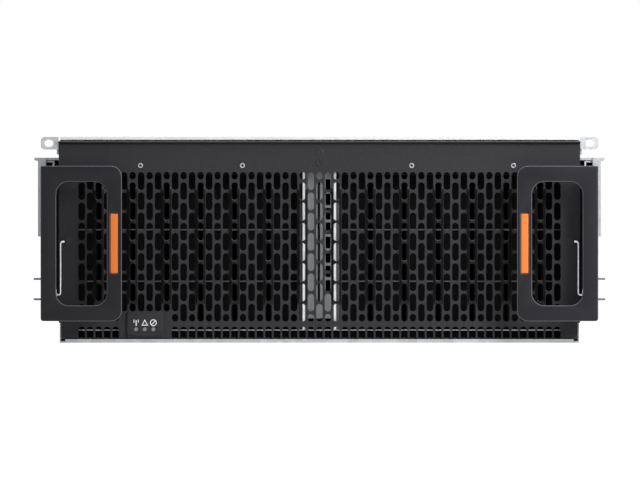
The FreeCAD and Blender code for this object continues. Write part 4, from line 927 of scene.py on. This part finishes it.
def make_panel():
    """Moulded plate with rounded upper corners and a bowed lip along its foot."""
    low, high = PANEL_LOW, PANEL_HIGH
    rim = rounded_rectangle(low.x, high.x, low.z, high.z,
                            (PANEL_FOOT_ROUND,) * 2 + (PANEL_TOP_ROUND,) * 2)
    holes = [circle(x, LIGHT_Z, LIGHT_RADIUS) for x in SIGN_PLACES]
    face = plate("panel_face", [rim] + holes, PANEL_FRONT, FACE_Y, WALL_EDGE)
    section = [(PANEL_FRONT, 3.2), (low.y + LIP_SLOPE, 2.6), (low.y, 1.9),
               (low.y + LIP_SLOPE, 1.2), (PANEL_FRONT, 0.9)]
    bm = bmesh.new()
    rows = []
    for step in range(LIP_STEPS + 1):
        share = step / LIP_STEPS
        x = low.x + LIP_INSET + (high.x - low.x - 2 * LIP_INSET) * share
        bow = LIP_BOW * math.sin(math.pi * share)
        rows.append([bm.verts.new((x, y, low.z + z * MM - bow + LIP_LIFT)) for y, z in section])
    bridge(bm, rows)
    bm.faces.new(rows[0])
    bm.faces.new(rows[-1])
    return joined("panel", [face, bm_mesh("lip", bm)])


panel = piece("indicator_plate", make_panel(), "chassis", "black_plastic")
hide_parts("indicator_panel")

PRINT_FINISH = coated("print_white", (0.75, 0.76, 0.77), 0.5, 1500, 0.03, 0.05)
# The pictograms' outlines, in millimetres from the middle of each sign
MAST = [(-0.45, -2.6), (0.45, -2.6), (0.35, 0.9), (-0.35, 0.9)]
MAST_TOP = 1.4
LAMP_RADIUS = 0.7
WAVE_RADII = (1.7, 2.3)
WAVE_STARTS = (-40, 140)
WAVE_SWEEP = 80
TRIANGLE = [(0, 2.9), (-2.9, -2.4), (2.9, -2.4)]
TRIANGLE_HOLE = [(u * 0.62, v * 0.62 - 0.25) for u, v in TRIANGLE]
RING_RADII = (2.9, 2.2)
BAR = [(-2.3, -0.35), (2.3, -0.35), (2.3, 0.35), (-2.3, 0.35)]
BAR_TURN = math.radians(45)


def wave(start):
    """Curved stroke beside the lamp, out along one arc and back along the other."""
    turns = [start + WAVE_SWEEP * step / 6 for step in range(7)]
    inner, outer = WAVE_RADII
    return around(0, MAST_TOP, outer, turns) + around(0, MAST_TOP, inner, turns[::-1])


def sign_plates():
    """Three generic pictograms: a beacon, a triangle and a barred circle."""
    bar = [(u * math.cos(BAR_TURN) - v * math.sin(BAR_TURN),
            u * math.sin(BAR_TURN) + v * math.cos(BAR_TURN)) for u, v in BAR]
    beacon, warning, barred = SIGN_PLACES
    shapes = [("mast", beacon, [MAST]),
              ("lamp", beacon, [circle(0, MAST_TOP, LAMP_RADIUS, 16)])]
    shapes += [("wave", beacon, [wave(start)]) for start in WAVE_STARTS]
    shapes += [("triangle", warning, [TRIANGLE, TRIANGLE_HOLE]),
               ("ring", barred, [circle(0, 0, radius) for radius in RING_RADII]),
               ("bar", barred, [bar])]
    front = PANEL_FRONT - SIGN_SINK
    return joined("signs", [
        plate(name, [[(x + u * MM, SIGN_Z + v * MM) for u, v in outline] for outline in outlines],
              front, front + 2 * SIGN_SINK) for name, x, outlines in shapes])


piece("indicator_signs", sign_plates(), "chassis", "light_pipe", PRINT_FINISH.material)

# ---------------------------------------------------------------- fans

FAN_COUNT = 4
BLADE_COUNT = 7
HUB_RADIUS = 15 * MM
HUB_ROUND = 2 * MM
BLADE_ROOT_SINK = 0.5 * MM
BLADE_CLEAR = 0.8 * MM
BLADE_THICK = 1.1 * MM
ROOT_PITCH, TIP_PITCH = 52, 32
ROOT_CHORD, TIP_CHORD = 20 * MM, 28 * MM
CAMBER = 0.09
SWEEP = 0.25
GUARD_RADII = (10, 16, 22, 28, 34, 38.5)
GUARD_WIRE = 0.7 * MM
GUARD_LIFT = 0.2 * MM
RING_STEPS = 40
RING_SIDES = 6
BODY_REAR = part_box("rear_frame")[1].y + 1.0 * MM


def make_rotor(low, high):
    """Hub with swept, twisted and cambered blades."""
    centre = (low + high) / 2
    outer = (high.x - low.x) / 2
    half = (high.y - low.y) / 2
    hub = lathe("hub", [(0, -half), (HUB_RADIUS - HUB_ROUND, -half),
                        (HUB_RADIUS, -half + HUB_ROUND), (HUB_RADIUS, half), (0, half)],
                centre, steps=40)
    bm = bmesh.new()
    for blade in range(BLADE_COUNT):
        turn = 2 * math.pi * blade / BLADE_COUNT
        rows = []
        for step in range(7):
            share = step / 6
            radius = HUB_RADIUS - BLADE_ROOT_SINK + (outer - HUB_RADIUS) * share
            pitch = math.radians(ROOT_PITCH + (TIP_PITCH - ROOT_PITCH) * share)
            chord = ROOT_CHORD + (TIP_CHORD - ROOT_CHORD) * share
            row = []
            for across in range(9):
                place = across / 8 - 0.5
                camber = CAMBER * chord * (1 - 4 * place * place)
                along = place * chord * math.cos(pitch) - camber * math.sin(pitch)
                rise = place * chord * math.sin(pitch) + camber * math.cos(pitch)
                angle = turn + along / max(radius, HUB_RADIUS) + SWEEP * share
                height = max(-half + BLADE_CLEAR, min(half - BLADE_CLEAR, rise))
                row.append(bm.verts.new((centre.x + radius * math.cos(angle),
                                         centre.y + height,
                                         centre.z + radius * math.sin(angle))))
            rows.append(row)
        for first, second in zip(rows, rows[1:]):
            for a, b, c, d in zip(first, first[1:], second[1:], second):
                bm.faces.new([a, b, c, d])
    return joined("rotor", [hub, thickened(bm_mesh("blades", bm), "blades", BLADE_THICK)])


def wire_rings(x, y, z, radii, wire):
    """Round wires in one plane, one inside the other; their radii are in millimetres."""
    turns = [2 * math.pi / RING_SIDES * side for side in range(RING_SIDES)]
    meshes = []
    for radius in radii:
        bm = bmesh.new()
        rings = []
        for step in range(RING_STEPS):
            angle = 2 * math.pi * step / RING_STEPS
            out = Vector((math.cos(angle), 0, math.sin(angle)))
            centre = Vector((x, y, z)) + out * (radius * MM)
            rings.append([bm.verts.new(centre + out * (wire * math.cos(turn))
                                       + Vector((0, wire * math.sin(turn), 0)))
                          for turn in turns])
        bridge(bm, rings + rings[:1])
        meshes.append(bm_mesh("ring", bm))
    return meshes


def make_guard(low, high):
    """Wire rings over the outlet of one fan."""
    rotor_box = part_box("fan_rotor_1")
    return joined("guard", wire_rings(
        (low.x + high.x) / 2, BODY_REAR + GUARD_LIFT, (rotor_box[0].z + rotor_box[1].z) / 2,
        GUARD_RADII, GUARD_WIRE))


for index in range(1, FAN_COUNT + 1):
    rotor_low, rotor_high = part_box(f"fan_rotor_{index}")
    rotor = piece(f"fan_blades_{index}", make_rotor(rotor_low, rotor_high),
                  f"fan_rotor_{index}", "fan_plastic")
    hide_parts(f"fan_rotor_{index}")
    piece(f"fan_guard_{index}", make_guard(*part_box(f"fan_module_{index}")),
          f"fan_module_{index}", "zinc_bright", smooth_angle=70)

# ---------------------------------------------------------------- rear sockets

PORT_SIZE = (15 * MM, 11 * MM)
PORT_PLACES = (14.5, 33.5, 52.5, 71.5, 97.5)
PORT_Z = 35.0 * MM
SHELL_ROUND = 0.8 * MM
SHELL_START = 0.2 * MM
SHELL_END = 1.1 * MM
SHELL_WALL = 1.2 * MM
INNER_ROUND = 0.5 * MM
TONGUE_INSET = 2.6 * MM
TONGUE_END = 1.0 * MM
TONGUE_BAND = (0.42, 0.58)
BACK_ROUND = 0.6 * MM
BACK_THICK = 0.3 * MM


def make_socket_shell(x, z, y):
    """Stamped shell round a socket, with a contact tongue inside it."""
    wide, tall = PORT_SIZE
    shell = plate("shell", [
        rounded_rectangle(x, x + wide, z, z + tall, (SHELL_ROUND,) * 4, 3),
        rounded_rectangle(x + SHELL_WALL, x + wide - SHELL_WALL, z + SHELL_WALL,
                          z + tall - SHELL_WALL, (INNER_ROUND,) * 4, 3)],
        y + SHELL_START, y + SHELL_END, FINE_EDGE)
    tongue = bevelled_box(
        "tongue", (x + TONGUE_INSET, y + SHELL_START, z + tall * TONGUE_BAND[0]),
        (x + wide - TONGUE_INSET, y + TONGUE_END, z + tall * TONGUE_BAND[1]), FINE_EDGE)
    return [shell, tongue]


def make_socket_back(x, z, y):
    """Dark plate on the board's edge, behind one shell."""
    wide, tall = PORT_SIZE
    return plate("back", [rounded_rectangle(x, x + wide, z, z + tall, (BACK_ROUND,) * 4, 3)],
                 y, y + BACK_THICK)


SOCKET_FINISH = brushed("socket_shell", (0.55, 0.55, 0.56), 0.3)
for index in (1, 2):
    module_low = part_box(f"io_module_{index}")[0]
    board_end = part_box(f"io_board_{index}")[1].y
    places = [(module_low.x + place * MM, module_low.z + PORT_Z, board_end)
              for place in PORT_PLACES]
    piece(f"io_socket_shells_{index}",
          joined("shells", [part for at in places for part in make_socket_shell(*at)]),
          f"io_module_{index}", "zinc_bright", SOCKET_FINISH.material)
    piece(f"io_socket_backs_{index}", joined("backs", [make_socket_back(*at) for at in places]),
          f"io_module_{index}", "black_plastic")

# ---------------------------------------------------------------- power supply fittings

VENT_RADIUS = 17 * MM
VENT_INSET = 26 * MM
VENT_DEPTH = 9 * MM
VENT_RADII = (3, 7, 11, 15)
VENT_WIRE = 0.6 * MM
VENT_SINK = 1.5 * MM
DISC_FRONT = 0.4 * MM
DISC_BACK = 0.1 * MM
DISC_GAP = 0.4 * MM
INLET_LEFT = 10 * MM
INLET_LOW = 6 * MM
INLET_SIZE = (26 * MM, 20 * MM)
INLET_RIM = 2 * MM
INLET_DEPTH = 12 * MM
INLET_FIT = 0.15 * MM
INLET_ROUND = 2.5 * MM
INLET_SINK = 0.3 * MM
INLET_FLOOR = 1 * MM
PIN_SIZE = Vector((1.5, 7, 4)) * MM
PIN_PLACES = ((-1, -1), (0, 1), (1, -1))
PIN_PITCH = 6.5 * MM
PIN_SHIFT = 2 * MM
PIN_EDGE = 0.3 * MM


def make_vent(low, high):
    """Finger guard and dark disc in the round recess of one supply."""
    x = high.x - VENT_INSET
    z = low.z + VENT_INSET
    floor = BODY_REAR - VENT_DEPTH
    edge = VENT_RADIUS - DISC_GAP
    disc = lathe("disc", [(0, DISC_FRONT), (edge, DISC_FRONT), (edge, DISC_BACK),
                          (0, DISC_BACK)], (x, floor, z), steps=40)
    return disc, joined("vent_guard", wire_rings(
        x, BODY_REAR - VENT_SINK, z, VENT_RADII, VENT_WIRE))


def make_inlet(low):
    """Moulded mains inlet: a rim, a dark floor and three upright pins."""
    x = low.x + INLET_LEFT
    z = low.z + INLET_LOW
    wide, tall = INLET_SIZE
    root = BODY_REAR - INLET_DEPTH

    def outline(inset, radius, steps):
        return rounded_rectangle(x + inset, x + wide - inset, z + inset, z + tall - inset,
                                 (radius,) * 4, steps)

    outer = outline(INLET_FIT, INNER_ROUND, 3)
    rim = plate("rim", [outer, outline(INLET_RIM, INLET_ROUND, 4)],
                root, BODY_REAR - INLET_SINK, PIN_EDGE)
    floor = plate("floor", [outer], root - INLET_FLOOR, root)
    pins = []
    for step, rise in PIN_PLACES:
        low = Vector((x + wide / 2 + step * PIN_PITCH - PIN_SIZE.x / 2, root,
                      z + tall / 2 + rise * PIN_SHIFT - PIN_SIZE.z / 2))
        pins.append(bevelled_box("pin", low, low + PIN_SIZE, PIN_EDGE))
    return joined("inlet", [rim, floor]), joined("pins", pins)


for index in (1, 2):
    supply_low, supply_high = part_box(f"psu_{index}")
    disc, guard = make_vent(supply_low, supply_high)
    inlet, pins = make_inlet(supply_low)
    for name, mesh, slot in (("vent_disc", disc, "black_plastic"),
                             ("vent_guard", guard, "steel_pin"),
                             ("inlet", inlet, "black_plastic"), ("inlet_pins", pins, "steel_pin")):
        piece(f"psu_{name}_{index}", mesh, f"psu_{index}", slot)

# ---------------------------------------------------------------- stage, lamps and camera

SKY_LIGHT = 0.15
FLOOR_GLOW = 0.95
FLOOR_REACH = 60.0
FLOOR_LEVEL = -0.0002
VIEW_WIDE = 0.550
VIEW_BACK = 9.0
VIEW_X = 0.0005
VIEW_Z = 0.0884
SENSOR = 36.0
# Each lamp: its name, place, target, size and power
LAMPS = (
    ("key", (0.78, FACE_Y - 0.85, 0.62), (0.05, FACE_Y, 0.09), (0.5, 0.5), 18),
    ("top", (0.1, FACE_Y - 0.5, 2.0), (0, 0, 0.1), (1.8, 1.4), 23),
    ("fill", (-1.6, FACE_Y - 1.4, 0.8), (0, FACE_Y, 0.09), (1.2, 1.2), 1),
)


def sight(tree):
    """One where a ray comes from the camera, from a mirror or through glass."""
    path = tree.nodes.new("ShaderNodeLightPath")
    seen = path.outputs["Is Camera Ray"]
    for name in ("Is Glossy Ray", "Is Transmission Ray"):
        either = tree.nodes.new("ShaderNodeMath")
        either.operation = "MAXIMUM"
        tree.links.new(seen, either.inputs[0])
        tree.links.new(path.outputs[name], either.inputs[1])
        seen = either.outputs[0]
    return seen


def stage_material():
    """Pale floor that glows nearly white where it is seen, which drowns the object's shadow."""
    material = bpy.data.materials.new("stage_floor")
    material.use_nodes = True
    tree = material.node_tree
    tree.nodes.clear()
    output = tree.nodes.new("ShaderNodeOutputMaterial")
    diffuse = tree.nodes.new("ShaderNodeBsdfDiffuse")
    diffuse.inputs["Color"].default_value = (0.8, 0.8, 0.8, 1)
    glow = tree.nodes.new("ShaderNodeEmission")
    level = tree.nodes.new("ShaderNodeMath")
    level.operation = "MULTIPLY"
    level.inputs[1].default_value = FLOOR_GLOW
    added = tree.nodes.new("ShaderNodeAddShader")
    tree.links.new(sight(tree), level.inputs[0])
    tree.links.new(level.outputs[0], glow.inputs["Strength"])
    tree.links.new(diffuse.outputs[0], added.inputs[0])
    tree.links.new(glow.outputs[0], added.inputs[1])
    tree.links.new(added.outputs[0], output.inputs["Surface"])
    return material


def make_floor():
    """One wide face just under the object."""
    bm = bmesh.new()
    bm.faces.new([bm.verts.new((x * FLOOR_REACH, y * FLOOR_REACH, FLOOR_LEVEL))
                  for x, y in ((-1, -1), (1, -1), (1, 1), (-1, 1))])
    floor = bpy.data.objects.new("floor", bm_mesh("floor", bm))
    floor.data.materials.append(stage_material())
    bpy.context.scene.collection.objects.link(floor)


def make_world():
    """Dim even light on the object, and plain white where the camera or a mirror looks."""
    world = bpy.data.worlds.new("studio")
    bpy.context.scene.world = world
    world.use_nodes = True
    tree = world.node_tree
    tree.nodes.clear()
    output = tree.nodes.new("ShaderNodeOutputWorld")
    mix = tree.nodes.new("ShaderNodeMixShader")
    for slot, strength in ((1, SKY_LIGHT), (2, 1.0)):
        shade = tree.nodes.new("ShaderNodeBackground")
        shade.inputs["Color"].default_value = (1, 1, 1, 1)
        shade.inputs["Strength"].default_value = strength
        tree.links.new(shade.outputs[0], mix.inputs[slot])
    tree.links.new(sight(tree), mix.inputs["Fac"])
    tree.links.new(mix.outputs[0], output.inputs["Surface"])


def lamp(name, place, target, size, power):
    data = bpy.data.lights.new(name, "AREA")
    data.shape = "RECTANGLE"
    data.size, data.size_y = size
    data.energy = power
    item = bpy.data.objects.new(name, data)
    item.location = place
    item.rotation_euler = (Vector(target) - Vector(place)).to_track_quat("-Z", "Y").to_euler()
    bpy.context.scene.collection.objects.link(item)


def make_camera():
    """Straight-on view from far off, as wide as the photograph's frame at the bezel."""
    data = bpy.data.cameras.new("camera")
    data.sensor_width = SENSOR
    data.lens = SENSOR * VIEW_BACK / VIEW_WIDE
    data.clip_start = 0.05
    camera = bpy.data.objects.new("camera", data)
    camera.location = (VIEW_X, FACE_Y - VIEW_BACK, VIEW_Z)
    camera.rotation_euler = (math.radians(90), 0, 0)
    bpy.context.scene.collection.objects.link(camera)
    bpy.context.scene.camera = camera


make_floor()
make_world()
for settings in LAMPS:
    lamp(*settings)
make_camera()
bpy.context.scene.view_settings.view_transform = "Standard"
